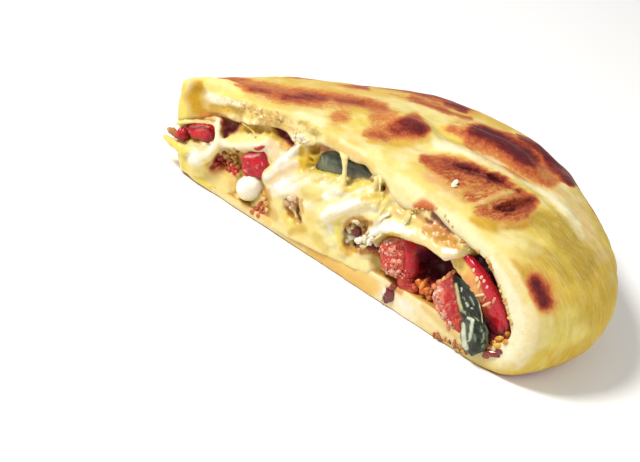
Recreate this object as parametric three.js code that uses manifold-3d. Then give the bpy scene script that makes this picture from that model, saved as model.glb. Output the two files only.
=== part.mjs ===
// Half of a baked calzone, cut across the middle, lying on its flat base.
// Millimetres, +Z up. The straight cut faces -Y, the rounded tip is at +Y,
// the closed fold is at +X and the seam that has opened is at -X.
import * as THREE from "three";
import { mergeVertices } from "three/addons/utils/BufferGeometryUtils.js";
import Module from "manifold-3d";

// ---------------------------------------------------------------- sizes
const CROWN = 41.2;            // height of the crust above its base, at the cut
const GAP = 0.3;               // clearance between pieces that touch
// Values round the plan, in degrees from the fold end of the cut (0) to its seam end (180)
const ANGLE = [0, 25, 50, 75, 100, 125, 150, 180];
const PLAN_RADIUS = [70.0, 82.5, 86.5, 96.5, 108.5, 96.5, 84.5, 73.6];
const EDGE_HEIGHT = [13.5, 15.2, 15.8, 15.2, 13.8, 15.6, 19.5, 24.5];   // height of the widest line
const SHOULDER = [41.2, 41.4, 41.4, 41.0, 39.6, 37.6, 34.4, 31.2];      // crown height carried to the edge
const TOP_ROUND = [2.48, 2.44, 2.38, 2.28, 2.12, 2.0, 1.88, 1.85];      // exponent of the upper curve
const BASE_FLAT = [0.84, 0.81, 0.76, 0.72, 0.70, 0.71, 0.74, 0.78];     // part of the radius that lies flat
// The pocket: thickness of the dough round it
const WALL_SIDE = [8.0, 8.5, 9.5, 10.5, 12.0, 10.5, 9.0, 7.0];
const WALL_TOP = 5.2;          // top crust at the cut
const WALL_TOP_BACK = 7.5;     // top crust near the tip
const WALL_BASE_SEAM = 3.2;    // bottom crust at the seam end
const WALL_BASE_THICK = 8.2;   // bottom crust under the red filling
const WALL_BASE_FOLD = 4.6;    // bottom crust where it turns up into the fold
const SEGMENTS = 64;           // round the whole plan
const ROWS = 20;               // crown to base
const POCKET_SEGMENTS = 48, POCKET_ROWS = 14;

// ---------------------------------------------------------------- helpers
const clamp = (v, a, b) => Math.min(b, Math.max(a, v));
const smooth = (a, b, v) => { const t = clamp((v - a) / (b - a), 0, 1); return t * t * (3 - 2 * t); };
const rad = Math.PI / 180;

// natural cubic spline through values given at ANGLE
function spline(values) {
  const n = ANGLE.length, x = ANGLE, y = values;
  const m = new Array(n).fill(0), c = new Array(n).fill(0), d = new Array(n).fill(0);
  for (let i = 1; i < n - 1; i++) {
    const h0 = x[i] - x[i - 1], h1 = x[i + 1] - x[i];
    const a = h0, b = 2 * (h0 + h1), r = 6 * ((y[i + 1] - y[i]) / h1 - (y[i] - y[i - 1]) / h0);
    const w = b - a * c[i - 1];
    c[i] = h1 / w; d[i] = (r - a * d[i - 1]) / w;
  }
  for (let i = n - 2; i > 0; i--) m[i] = d[i] - c[i] * m[i + 1];
  return (deg) => {
    const v = clamp(deg, 0, 180);
    let i = 0; while (i < n - 2 && v > x[i + 1]) i++;
    const h = x[i + 1] - x[i], a = (x[i + 1] - v) / h, b = (v - x[i]) / h;
    return a * y[i] + b * y[i + 1] + ((a ** 3 - a) * m[i] + (b ** 3 - b) * m[i + 1]) * h * h / 6;
  };
}
const planRadius = spline(PLAN_RADIUS), edgeHeight = spline(EDGE_HEIGHT), topRound = spline(TOP_ROUND);
const baseFlat = spline(BASE_FLAT), shoulder = spline(SHOULDER), wallSide = spline(WALL_SIDE);

// blisters and the long crease on the crust: x, y, half length, half width, turn in degrees, height
const BLISTERS = [
  [-15, 34, 15, 7, 38, 1.3],
  [27, 26, 24, 13, 22, 1.1],
  [-1, 78, 20, 9, -48, 1.2],
  [-45, 26, 22, 6, 12, 0.7],
  [64, 8, 7, 6, 60, 0.5],
  [46, 62, 16, 10, -50, 0.8],
  [-38, 78, 20, 8, 60, 0.8],
];
const CREASE = { from: [-14, 38], to: [48, 66], depth: 1.2, width: 3.2 };
function relief(x, y) {
  let h = 0;
  for (const [cx, cy, a, b, turn, up] of BLISTERS) {
    const c = Math.cos(turn * rad), s = Math.sin(turn * rad);
    const u = ((x - cx) * c + (y - cy) * s) / a, v = (-(x - cx) * s + (y - cy) * c) / b;
    h += up * Math.exp(-(u * u + v * v) * 1.4);
  }
  const [x0, y0] = CREASE.from, [x1, y1] = CREASE.to;
  const L = Math.hypot(x1 - x0, y1 - y0), t = clamp(((x - x0) * (x1 - x0) + (y - y0) * (y1 - y0)) / (L * L), 0, 1);
  const d = Math.hypot(x - x0 - t * (x1 - x0), y - y0 - t * (y1 - y0));
  h -= CREASE.depth * Math.exp(-((d / CREASE.width) ** 2)) * Math.sin(Math.PI * clamp(t, 0.05, 0.95));
  return h;
}

// a warped sphere: place(u, v) gives the point at u round the axis (0..360 degrees)
// and v from the crown (0) to the base (180)
function warped(place, seg, rows) {
  const g = new THREE.SphereGeometry(1, seg, rows);
  const p = g.attributes.position, q = new THREE.Vector3();
  for (let i = 0; i < p.count; i++) {
    q.fromBufferAttribute(p, i);                       // three's sphere has +Y up
    const v = Math.acos(clamp(q.y, -1, 1)) / rad;
    let u = Math.atan2(-q.z, q.x) / rad; if (u < -1e-4) u += 360;
    if (v < 0.01 || v > 179.99) u = 0;
    const [x, y, z] = place(u, v);
    p.setXYZ(i, x, y, z);
  }
  return tidy(g);
}
function tidy(g) {
  g.deleteAttribute("normal"); g.deleteAttribute("uv");
  const m = mergeVertices(g, 1e-3);
  // drop triangles that merging has collapsed
  const a = m.index.array, keep = [];
  for (let i = 0; i < a.length; i += 3)
    if (a[i] !== a[i + 1] && a[i + 1] !== a[i + 2] && a[i] !== a[i + 2]) keep.push(a[i], a[i + 1], a[i + 2]);
  m.setIndex(keep);
  return m;
}

// crust body and pocket, both mirrored past the cut so that one plane trims them cleanly
function bodyPoint(u, v, inner, shrink = 0) {
  const deg = u <= 180 ? u : 360 - u, mirror = u <= 180 ? 1 : -1;
  const R = planRadius(deg) - (inner ? wallSide(deg) + shrink : 0), m = topRound(deg);
  // inside, the widest line sits well under the top crust
  const zEdge = inner ? Math.min(edgeHeight(deg) + 2.5, shoulder(deg) - WALL_TOP - 6) : edgeHeight(deg);
  const at = (r) => [R * r * Math.cos(deg * rad), mirror * R * r * Math.sin(deg * rad)];
  if (v <= 90) {
    const r = Math.pow(Math.sin(v * rad), 2 / m), drop = Math.pow(Math.cos(v * rad), 2 / m), [x, y] = at(r);
    const thick = inner ? WALL_TOP + (WALL_TOP_BACK - WALL_TOP) * smooth(0, 90, Math.abs(y)) + shrink : 0;
    const crown = CROWN + (shoulder(deg) - CROWN) * r * r - thick;
    return [x, y, zEdge + (crown - zEdge) * drop + (inner ? 0 : relief(x, y) * smooth(0, 0.5, drop))];
  }
  // the base is flat in the middle and turns up to the edge in a quarter of an ellipse
  const flat = inner ? baseFlat(deg) - 0.12 : baseFlat(deg), t = (180 - v) / 90;
  const turn = clamp((t - 0.3) / 0.7, 0, 1) * 90 * rad;
  const r = t < 0.3 ? flat * t / 0.3 : flat + (1 - flat) * Math.sin(turn), [x, y] = at(r);
  const floor = inner ? WALL_BASE_SEAM + (WALL_BASE_THICK - WALL_BASE_SEAM) * smooth(-40, 24, x)
    - (WALL_BASE_THICK - WALL_BASE_FOLD) * smooth(36, 56, x) + shrink : 0;
  return [x, y, floor + (zEdge - floor) * (1 - Math.cos(turn))];
}

const wasm = await Module();
wasm.setup();
function solid(g) {
  const p = g.attributes.position.array;
  return new wasm.Manifold(new wasm.Mesh({ numProp: 3, vertProperties: new Float32Array(p), triVerts: new Uint32Array(g.index.array) }));
}
function geometry(man) {
  const m = man.getMesh(), g = new THREE.BufferGeometry(), n = m.numProp, count = m.vertProperties.length / n;
  const pos = new Float32Array(count * 3);
  for (let i = 0; i < count; i++) for (let j = 0; j < 3; j++) pos[3 * i + j] = m.vertProperties[n * i + j];
  g.setAttribute("position", new THREE.BufferAttribute(pos, 3));
  g.setIndex(new THREE.BufferAttribute(new Uint32Array(m.triVerts), 1));
  return tidy(g);
}
function block(x0, x1, y0, y1, z0, z1) {
  const g = new THREE.BoxGeometry(x1 - x0, y1 - y0, z1 - z0);
  g.translate((x0 + x1) / 2, (y0 + y1) / 2, (z0 + z1) / 2);
  return solid(tidy(g));
}
// an uneven ellipsoid; grow is added to every radius
function lump({ at, half, turn = [0, 0, 0], box = 2, wave = 0.06, seed = 1, seg = 14, rows = 9 }, grow = 0) {
  const [a, b, c] = half, e = new THREE.Euler(turn[0] * rad, turn[1] * rad, turn[2] * rad), q = new THREE.Vector3();
  const g = warped((u, v) => {
    const n = [Math.sin(v * rad) * Math.cos(u * rad), Math.sin(v * rad) * Math.sin(u * rad), Math.cos(v * rad)];
    const f = Math.pow(Math.abs(n[0]) ** box + Math.abs(n[1]) ** box + Math.abs(n[2]) ** box, -1 / box);
    const w = 1 + wave * Math.sin(3 * n[0] + 1.7 * seed) * Math.cos(2.6 * n[1] + 2.3 * seed) + wave * Math.sin(4.1 * n[2] + seed);
    q.set(n[0] * f * w * (a + grow), n[1] * f * w * (b + grow), n[2] * f * w * (c + grow)).applyEuler(e);
    return [q.x + at[0], q.y + at[1], q.z + at[2]];
  }, seg, rows);
  return solid(g);
}
// a leaf or a strip: length along its own X, width along Z, thin along Y, curled about X and bent along X
function blade({ at, long, wide, thick, turn, curl = 0, bend = 0, point = 1.6, seg = 14, rows = 12 }, grow = 0) {
  const e = new THREE.Euler(turn[0] * rad, turn[1] * rad, turn[2] * rad, "XYZ"), q = new THREE.Vector3();
  const g = warped((u, v) => {
    // v runs along the length, u round the section
    const s = Math.cos(v * rad), w = Math.pow(Math.max(0, 1 - s * s), point / 2);
    const side = Math.cos(u * rad), face = Math.sin(u * rad);
    let x = -s * (long / 2 + grow), z = side * (w * wide / 2 + grow * Math.sin(v * rad)), y = face * (thick / 2 + grow) * Math.pow(Math.sin(v * rad), 0.5);
    y += curl * (z / (wide / 2)) ** 2 + bend * (x / (long / 2)) ** 2;
    q.set(x, y, z).applyEuler(e);
    return [q.x + at[0], q.y + at[1], q.z + at[2]];
  }, seg, rows);
  return solid(g);
}

// ---------------------------------------------------------------- pieces in the pocket
const TOMATO_LEFT = { at: [-63.6, 3.2, 13.9], half: [7.4, 4.6, 3.5], turn: [0, -14, 0], box: 2.3, wave: 0.1, seed: 2 };
const TOMATO_MIDDLE = { at: [-38.9, 3.2, 15.2], half: [5.9, 4.6, 4.6], turn: [10, -28, 8], box: 3.0, wave: 0.05, seed: 5 };
const TOMATO_PULP = { at: [16.2, 3.8, 15.2], half: [7.8, 5.8, 6.4], turn: [0, 30, 0], box: 2.3, wave: 0.1, seed: 3 };
const SAUCE_CHUNK = { at: [37.8, 3.4, 11.0], half: [9.4, 5.2, 4.8], turn: [0, 32, 0], box: 2.2, wave: 0.12, seed: 7 };
const PEARL = { at: [-37.6, 1.4, 7.9], half: [5.0, 4.8, 5.0], turn: [0, 0, 0], box: 2.0, wave: 0.03, seed: 1 };
const PEPPER = { at: [49.6, 2.6, 21.8], long: 28, wide: 8.6, thick: 3.4, turn: [0, 34, 0], curl: 0.6, bend: 1.2, point: 0.6 };
const BASIL_TOP = { at: [-8.6, 1.6, 31.4], long: 23, wide: 8.6, thick: 1.2, turn: [-16, -7, 0], curl: 1.6, bend: 0.8, point: 1.0 };
const BASIL_FOLD = { at: [48.2, -0.6, 13.2], long: 24, wide: 8.4, thick: 1.6, turn: [0, 45, -11], curl: 1.6, bend: 0.8, point: 1.1 };
// region that the red filling takes, the cheese takes the rest of the pocket
const RED_FILLING = { at: [48, 8, 11], half: [33, 84, 17], turn: [0, 0, 0], box: 2.6, wave: 0.05, seed: 4, seg: 28, rows: 14 };
const SEAM_MOUTH = { at: [-64.5, 2, 14.4], half: [10.5, 16, 8.2], turn: [0, -16, 0], box: 2.6, wave: 0.03, seed: 6, seg: 22, rows: 12 };

// ---------------------------------------------------------------- crust
const front = block(-200, 200, 0, 300, -20, 200);
const outer = solid(warped((u, v) => bodyPoint(u, v, false), SEGMENTS, ROWS));
const pocket = solid(warped((u, v) => bodyPoint(u, v, true), POCKET_SEGMENTS, POCKET_ROWS));
const pocketIn = solid(warped((u, v) => bodyPoint(u, v, true, GAP + 0.15), POCKET_SEGMENTS, POCKET_ROWS));
const mouth = lump(SEAM_MOUTH), mouthIn = lump(SEAM_MOUTH, -GAP - 0.25);
const crust = outer.subtract(pocket).subtract(mouth).intersect(front);

// ---------------------------------------------------------------- filling
const items = {
  tomato_left: lump(TOMATO_LEFT), tomato_middle: lump(TOMATO_MIDDLE), tomato_pulp: lump(TOMATO_PULP),
  sauce_chunk: lump(SAUCE_CHUNK), mozzarella_pearl: lump(PEARL),
  pepper_strip: blade(PEPPER), basil_top: blade(BASIL_TOP), basil_fold: blade(BASIL_FOLD),
};
const grown = {
  tomato_left: lump(TOMATO_LEFT, GAP), tomato_middle: lump(TOMATO_MIDDLE, GAP), tomato_pulp: lump(TOMATO_PULP, GAP),
  sauce_chunk: lump(SAUCE_CHUNK, GAP), mozzarella_pearl: lump(PEARL, GAP),
  pepper_strip: blade(PEPPER, GAP), basil_top: blade(BASIL_TOP, GAP), basil_fold: blade(BASIL_FOLD, GAP),
};
// the pieces lie in front of one another in this order: each later one is cut back by those before it
const order = ["basil_fold", "pepper_strip", "mozzarella_pearl", "tomato_left", "tomato_middle", "tomato_pulp", "sauce_chunk", "basil_top"];
const room = pocketIn.add(mouthIn).subtract(block(-200, 200, -50, -4.5, -20, 200));
const cut = {};
for (let i = 0; i < order.length; i++) {
  let s = items[order[i]];
  for (let j = 0; j < i; j++) s = s.subtract(grown[order[j]]);
  cut[order[i]] = largest(s.intersect(room));
}
function largest(s) {
  const parts = s.decompose();
  parts.sort((a, b) => b.volume() - a.volume());
  return parts[0];
}
// fillings stand back from the cut by a millimetre or two, with an uneven front
function wavyFront(base, amp, seed) {
  const g = new THREE.BoxGeometry(170, 1, 60, 24, 1, 8), p = g.attributes.position;
  for (let i = 0; i < p.count; i++) {
    const x = p.getX(i), z = p.getZ(i) + 20;
    const y = p.getY(i) < 0 ? -60 : base + amp * Math.sin(0.21 * x + seed) * Math.cos(0.33 * z + 2 * seed) + amp * 0.6 * Math.sin(0.47 * x - 0.3 * z);
    p.setXYZ(i, x, y, z);
  }
  return solid(tidy(g));
}
let red = pocketIn.intersect(lump(RED_FILLING)).subtract(wavyFront(4.2, 1.1, 0.6));
let cheese = room.subtract(lump(RED_FILLING, GAP)).subtract(wavyFront(1.2, 1.3, 2.1));
for (const n of order) { red = red.subtract(grown[n]); cheese = cheese.subtract(grown[n]); }
red = largest(red); cheese = largest(cheese);

// ---------------------------------------------------------------- scene graph
const half = new THREE.Group();
function piece(name, man, colour, roughness) {
  const m = new THREE.Mesh(geometry(man), new THREE.MeshStandardMaterial({ color: colour, roughness, metalness: 0 }));
  m.name = name;
  half.add(m);
  return m;
}
piece("crust", crust, 0xe6c070, 0.62);
piece("cheese", cheese, 0xf3e3b4, 0.32);
piece("red_filling", red, 0xa8341c, 0.4);
const COLOUR = { tomato_left: 0xb0160f, tomato_middle: 0xc3160f, tomato_pulp: 0xa5231a, sauce_chunk: 0xb4462a,
  mozzarella_pearl: 0xf6eed6, pepper_strip: 0xc01712, basil_top: 0x3c5a34, basil_fold: 0x2c4632 };
for (const n of order) piece(n, cut[n], COLOUR[n], 0.35);

// the origin is the middle of the whole at base level
const box = new THREE.Box3().setFromObject(half), mid = box.getCenter(new THREE.Vector3());
half.position.set(-mid.x, -mid.y, -box.min.z);
half.updateMatrixWorld(true);
const calzone = new THREE.Group();
calzone.add(half);
export default calzone;
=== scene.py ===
# Looks of the cut calzone half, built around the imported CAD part.
# Working coordinates are millimetres with the cut face on y = 0, X along the cut,
# +Y into the half and z = 0 on the base. mesh() turns them into the row frame in metres.
import math

import bpy
import numpy as np
from mathutils import Matrix, Vector


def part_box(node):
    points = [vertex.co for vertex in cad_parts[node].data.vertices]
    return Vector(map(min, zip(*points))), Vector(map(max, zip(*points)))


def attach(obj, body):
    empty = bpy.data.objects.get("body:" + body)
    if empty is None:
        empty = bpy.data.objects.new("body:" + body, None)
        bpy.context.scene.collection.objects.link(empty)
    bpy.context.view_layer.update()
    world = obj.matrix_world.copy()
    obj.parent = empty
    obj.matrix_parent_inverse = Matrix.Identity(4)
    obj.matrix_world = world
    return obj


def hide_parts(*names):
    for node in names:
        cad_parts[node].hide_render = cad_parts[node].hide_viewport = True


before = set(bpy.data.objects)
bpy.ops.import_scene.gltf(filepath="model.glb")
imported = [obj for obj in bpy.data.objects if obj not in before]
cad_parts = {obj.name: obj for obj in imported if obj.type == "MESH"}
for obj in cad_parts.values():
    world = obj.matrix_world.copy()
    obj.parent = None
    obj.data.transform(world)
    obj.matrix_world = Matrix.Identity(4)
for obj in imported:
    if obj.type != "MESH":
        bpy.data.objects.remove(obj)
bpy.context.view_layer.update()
crust_low, crust_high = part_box("crust")
SHIFT = np.array([0.0945, crust_low[1] * 1000.0, 0.0])     # working millimetres -> row frame

# ------------------------------------------------------------------ camera
CAMERA = np.array([334.127, -578.726, 340.493])            # where the camera stands, mm
BACK = CAMERA / np.linalg.norm(CAMERA)
RIGHT = np.array([0.751057, 0.598117, 0.279586])
UP = np.array([-0.487278, 0.216416, 0.846005])
FOCAL, CX, CY = 2489.39, 331.051, 272.64                   # in pixels of a 640 x 462 picture


def at(u, v, y):
    """The point at depth y that the camera sees at picture position (u, v)."""
    d = RIGHT * (u - CX) - UP * (v - CY) - BACK * FOCAL
    return CAMERA + d * ((y - CAMERA[1]) / d[1])


# ------------------------------------------------------------------ numbers
def clamp01(v):
    return np.clip(v, 0.0, 1.0)


def smooth(a, b, v):
    t = clamp01((v - a) / (b - a))
    return t * t * (3 - 2 * t)


def smin(a, b, k):
    h = clamp01(0.5 + 0.5 * (b - a) / k)
    return b + (a - b) * h - k * h * (1 - h)


def smax(a, b, k):
    return -smin(-a, -b, k)


def lin(r, g, b):
    """A display colour, 0 to 255, as linear light."""
    c = np.array([r, g, b], float) / 255.0
    return np.where(c <= 0.04045, c / 12.92, ((c + 0.055) / 1.055) ** 2.4)


def weights(c, size, shift):
    t = c / size + shift
    i = np.floor(t).astype(int)
    f = t - i
    f = f * f * (3 - 2 * f)
    i -= i.min()
    a = np.zeros((len(c), i.max() + 2), np.float32)
    r = np.arange(len(c))
    a[r, i] = 1 - f
    a[r, i + 1] = f
    return a


def grid_noise(g, size, seed, octaves=1):
    """Smooth noise, about -1 to 1, on the grid g = (X, Y, Z)."""
    rng = np.random.default_rng(seed)
    size = np.broadcast_to(np.array(size, float), (3,)).copy()
    out, amp, total = 0.0, 1.0, 0.0
    for _ in range(octaves):
        a, b, c = [weights(x, s, rng.uniform(0, 1)) for x, s in zip(g, size)]
        t = rng.uniform(-1, 1, (a.shape[1], b.shape[1], c.shape[1])).astype(np.float32)
        n = np.tensordot(a, t, 1)
        n = np.matmul(b, n)
        out = out + amp * np.matmul(n, c.T)
        total += amp
        amp *= 0.5
        size = size / 2
    return out * (1.5 / total)


TABLE = np.random.default_rng(11).uniform(-1, 1, (64, 64, 64)).astype(np.float32)


def noise(p, size, seed=0, octaves=1):
    """Smooth noise, about -1 to 1, at points p (n, 3)."""
    size = np.broadcast_to(np.array(size, float), (3,))
    q = p / size + np.array([17.3, 5.7, 29.1]) * (seed + 1)
    out, amp, total = 0.0, 1.0, 0.0
    for _ in range(octaves):
        i = np.floor(q).astype(int)
        f = q - i
        f = f * f * (3 - 2 * f)
        n = 0.0
        for dx in (0, 1):
            wx = f[:, 0] if dx else 1 - f[:, 0]
            for dy in (0, 1):
                wy = f[:, 1] if dy else 1 - f[:, 1]
                for dz in (0, 1):
                    wz = f[:, 2] if dz else 1 - f[:, 2]
                    n = n + wx * wy * wz * TABLE[(i[:, 0] + dx) & 63, (i[:, 1] + dy) & 63, (i[:, 2] + dz) & 63]
        out = out + amp * n
        total += amp
        amp *= 0.5
        q = q * 2 + 9.7
    return out * (1.5 / total)


def axis(*steps):
    """Grid lines: axis(from, (to, step at the end), ...), each step growing evenly from the last."""
    v, out, last = steps[0], [steps[0]], steps[1][1]
    for to, step in steps[1:]:
        start = v
        while v < to - 1e-6:
            t = (v - start) / (to - start)
            v += last + (step - last) * t
            out.append(v)
        last = step
    return np.array(out)


# ------------------------------------------------------------------ surfaces from fields
def surface(f, g):
    """The surface f = 0 of a field on the grid g as (points, quads), f < 0 inside."""
    X, Y, Z = g
    f = f.copy()
    for k in range(3):
        for end in (0, -1):
            face = [slice(None)] * 3
            face[k] = end
            f[tuple(face)] = np.maximum(f[tuple(face)], 0.05)      # closed where the grid ends
    s = f < 0
    count = np.zeros(tuple(n - 1 for n in f.shape), np.uint8)
    for dx in (0, 1):
        for dy in (0, 1):
            for dz in (0, 1):
                count += s[dx:f.shape[0] - 1 + dx, dy:f.shape[1] - 1 + dy, dz:f.shape[2] - 1 + dz]
    cells = (count > 0) & (count < 8)
    index = np.full(cells.shape, -1, np.int64)
    ijk = np.argwhere(cells)
    index[cells] = np.arange(len(ijk))
    acc = np.zeros((len(ijk), 3))
    hits = np.zeros(len(ijk))
    corner = [(a, b, c) for a in (0, 1) for b in (0, 1) for c in (0, 1)]
    for a in corner:
        for b in corner:
            if sum(abs(p - q) for p, q in zip(a, b)) != 1 or a > b:
                continue
            ia, ib = ijk + a, ijk + b
            fa = f[ia[:, 0], ia[:, 1], ia[:, 2]]
            fb = f[ib[:, 0], ib[:, 1], ib[:, 2]]
            cross = (fa < 0) != (fb < 0)
            t = np.where(cross, fa / np.where(cross, fa - fb, 1), 0)[:, None]
            pa = np.stack([X[ia[:, 0]], Y[ia[:, 1]], Z[ia[:, 2]]], 1)
            pb = np.stack([X[ib[:, 0]], Y[ib[:, 1]], Z[ib[:, 2]]], 1)
            acc[cross] += (pa + (pb - pa) * t)[cross]
            hits[cross] += 1
    points = acc / hits[:, None]
    quads = []
    for ax in range(3):
        sl0 = [slice(1, -1)] * 3
        sl1 = [slice(1, -1)] * 3
        sl0[ax], sl1[ax] = slice(0, -1), slice(1, None)
        a, b = s[tuple(sl0)], s[tuple(sl1)]
        e = np.argwhere(a != b)
        inside = a[tuple(e.T)]
        base = e + 1
        base[:, ax] -= 1
        u, v = (ax + 1) % 3, (ax + 2) % 3
        ring = []
        for du, dv in ((-1, -1), (0, -1), (0, 0), (-1, 0)):
            q = base.copy()
            q[:, u] += du
            q[:, v] += dv
            ring.append(index[tuple(q.T)])
        ring = np.stack(ring, 1)
        ring[~inside] = ring[~inside][:, ::-1]
        quads.append(ring)
    return points, np.concatenate(quads)


def keep_large(points, quads, least=60):
    """Drops loose crumbs of surface with fewer than least points."""
    n = len(points)
    label = np.arange(n)
    edges = np.concatenate([quads[:, [0, 1]], quads[:, [1, 2]], quads[:, [2, 3]], quads[:, [3, 0]]])
    while True:
        m = np.minimum(label[edges[:, 0]], label[edges[:, 1]])
        new = label.copy()
        np.minimum.at(new, edges[:, 0], m)
        np.minimum.at(new, edges[:, 1], m)
        new = new[new]
        if (new == label).all():
            break
        label = new
    size = np.bincount(label, minlength=n)
    good = size[label] >= least
    quads = quads[good[quads].all(1)]
    used = np.zeros(n, bool)
    used[quads.ravel()] = True
    back = np.cumsum(used) - 1
    return points[used], back[quads]


def relax(points, quads, times=1, share=0.5):
    """Smooths a mesh a little."""
    e = np.concatenate([quads[:, [0, 1]], quads[:, [1, 2]], quads[:, [2, 3]], quads[:, [3, 0]]])
    e = np.concatenate([e, e[:, ::-1]])
    n = np.bincount(e[:, 0], minlength=len(points))[:, None]
    for _ in range(times):
        s = np.zeros_like(points)
        for k in range(3):
            s[:, k] = np.bincount(e[:, 0], weights=points[e[:, 1], k], minlength=len(points))
        points = points + (s / np.maximum(n, 1) - points) * share
    return points


def normals(points, quads):
    a, b, c, d = [points[quads[:, i]] for i in range(4)]
    f = np.cross(c - a, d - b)
    n = np.zeros_like(points)
    for i in range(4):
        for k in range(3):
            n[:, k] += np.bincount(quads[:, i], weights=f[:, k], minlength=len(points))
    return n / np.maximum(np.linalg.norm(n, axis=1), 1e-9)[:, None]


def mesh(name, points, faces, attributes=None, colour=None, material=None):
    """A smooth-shaded object from points in working millimetres. faces is one array or several."""
    groups = [np.asarray(x, np.int64) for x in (faces if isinstance(faces, list) else [faces]) if len(x)]
    loops = np.concatenate([x.ravel() for x in groups])
    totals = np.concatenate([np.full(len(x), x.shape[1]) for x in groups])
    starts = np.concatenate([[0], np.cumsum(totals)[:-1]])
    m = bpy.data.meshes.new(name)
    m.vertices.add(len(points))
    m.vertices.foreach_set("co", ((points + SHIFT) * 0.001).astype(np.float32).ravel())
    m.loops.add(len(loops))
    m.loops.foreach_set("vertex_index", loops.astype(np.int32))
    m.polygons.add(len(totals))
    m.polygons.foreach_set("loop_start", starts.astype(np.int32))
    m.polygons.foreach_set("loop_total", totals.astype(np.int32))
    m.polygons.foreach_set("use_smooth", np.ones(len(totals), bool))
    m.update(calc_edges=True)
    m.validate()
    for key, value in (attributes or {}).items():
        m.attributes.new(key, "FLOAT", "POINT").data.foreach_set("value", np.asarray(value, np.float32))
    if colour is not None:
        rgba = np.concatenate([np.clip(colour * EXPOSE, 0, 1), np.ones((len(points), 1))], 1).astype(np.float32)
        m.color_attributes.new("tint", "FLOAT_COLOR", "POINT").data.foreach_set("color", rgba.ravel())
    o = bpy.data.objects.new(name, m)
    bpy.context.scene.collection.objects.link(o)
    if material:
        m.materials.append(material)
    return o


EXPOSE = 0.80        # colours are given as they look in full light


def blend(colour, mask, other):
    m = clamp01(mask)[:, None]
    return colour * (1 - m) + other * m


# ------------------------------------------------------------------ materials
class Nodes:
    """Short names for building a node material."""

    def __init__(self, name):
        self.material = bpy.data.materials.new(name)
        self.material.use_nodes = True
        self.tree = self.material.node_tree
        self.tree.nodes.clear()
        self.out = self.tree.nodes.new("ShaderNodeOutputMaterial")
        self.shader = self.tree.nodes.new("ShaderNodeBsdfPrincipled")
        self.link(self.shader.outputs[0], self.out.inputs[0])
        self.where = self.tree.nodes.new("ShaderNodeTexCoord").outputs["Object"]

    def link(self, a, b):
        self.tree.links.new(a, b)

    def put(self, socket, value):
        if isinstance(value, bpy.types.NodeSocket):
            self.link(value, socket)
        else:
            socket.default_value = value

    def set(self, **values):
        for key, value in values.items():
            self.put(self.shader.inputs[key.replace("_", " ")], value)

    def value(self, name):
        n = self.tree.nodes.new("ShaderNodeAttribute")
        n.attribute_name = name
        return n.outputs["Fac"]

    def tint(self):
        n = self.tree.nodes.new("ShaderNodeAttribute")
        n.attribute_name = "tint"
        return n.outputs["Color"]

    def math(self, op, a, b=0.0, c=0.0, clamp=False):
        n = self.tree.nodes.new("ShaderNodeMath")
        n.operation = op
        n.use_clamp = clamp
        for i, v in enumerate((a, b, c)):
            self.put(n.inputs[i], v)
        return n.outputs[0]

    def noise(self, mm, detail=2.0, rough=0.5, stretch=None, distort=0.0):
        n = self.tree.nodes.new("ShaderNodeTexNoise")
        n.inputs["Scale"].default_value = 1000.0 / mm
        n.inputs["Detail"].default_value = detail
        n.inputs["Roughness"].default_value = rough
        n.inputs["Distortion"].default_value = distort
        self.link(self.place(stretch), n.inputs["Vector"])
        return n.outputs["Fac"]

    def cells(self, mm, stretch=None, distort=False):
        n = self.tree.nodes.new("ShaderNodeTexVoronoi")
        n.inputs["Scale"].default_value = 1000.0 / mm
        where = self.place(stretch)
        if distort:
            w = self.tree.nodes.new("ShaderNodeTexNoise")
            w.inputs["Scale"].default_value = 500.0 / mm
            self.link(where, w.inputs["Vector"])
            add = self.tree.nodes.new("ShaderNodeVectorMath")
            add.operation = "MULTIPLY_ADD"
            self.link(w.outputs["Color"], add.inputs[0])
            add.inputs[1].default_value = (0.0014 * mm,) * 3
            self.link(where, add.inputs[2])
            where = add.outputs[0]
        self.link(where, n.inputs["Vector"])
        return n.outputs["Distance"]

    def place(self, stretch):
        if stretch is None:
            return self.where
        m = self.tree.nodes.new("ShaderNodeMapping")
        m.inputs["Rotation"].default_value = stretch[1]
        m.inputs["Scale"].default_value = stretch[0]
        self.link(self.where, m.inputs["Vector"])
        return m.outputs[0]

    def span(self, v, a, b, lo=0.0, hi=1.0, kind="SMOOTHSTEP"):
        n = self.tree.nodes.new("ShaderNodeMapRange")
        n.interpolation_type = kind
        self.put(n.inputs["Value"], v)
        n.inputs["From Min"].default_value = a
        n.inputs["From Max"].default_value = b
        n.inputs["To Min"].default_value = lo
        n.inputs["To Max"].default_value = hi
        return n.outputs["Result"]

    def ramp(self, v, stops):
        n = self.tree.nodes.new("ShaderNodeValToRGB")
        e = n.color_ramp.elements
        while len(e) < len(stops):
            e.new(0.5)
        for i, (pos, colour) in enumerate(stops):
            e[i].position = pos
            e[i].color = (*colour, 1.0)
        self.put(n.inputs[0], v)
        return n.outputs["Color"]

    def mix(self, fac, a, b, kind="MIX"):
        n = self.tree.nodes.new("ShaderNodeMix")
        n.data_type = "RGBA"
        n.blend_type = kind
        self.put(n.inputs["Factor"], fac)
        for i, v in ((6, a), (7, b)):
            self.put(n.inputs[i], v if isinstance(v, bpy.types.NodeSocket) else (*v, 1.0))
        return n.outputs[2]

    def bump(self, height, mm, strength=1.0, under=None):
        n = self.tree.nodes.new("ShaderNodeBump")
        n.inputs["Strength"].default_value = strength
        n.inputs["Distance"].default_value = mm * 0.001
        self.put(n.inputs["Height"], height)
        if under is not None:
            self.link(under, n.inputs["Normal"])
        return n.outputs[0]


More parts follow.
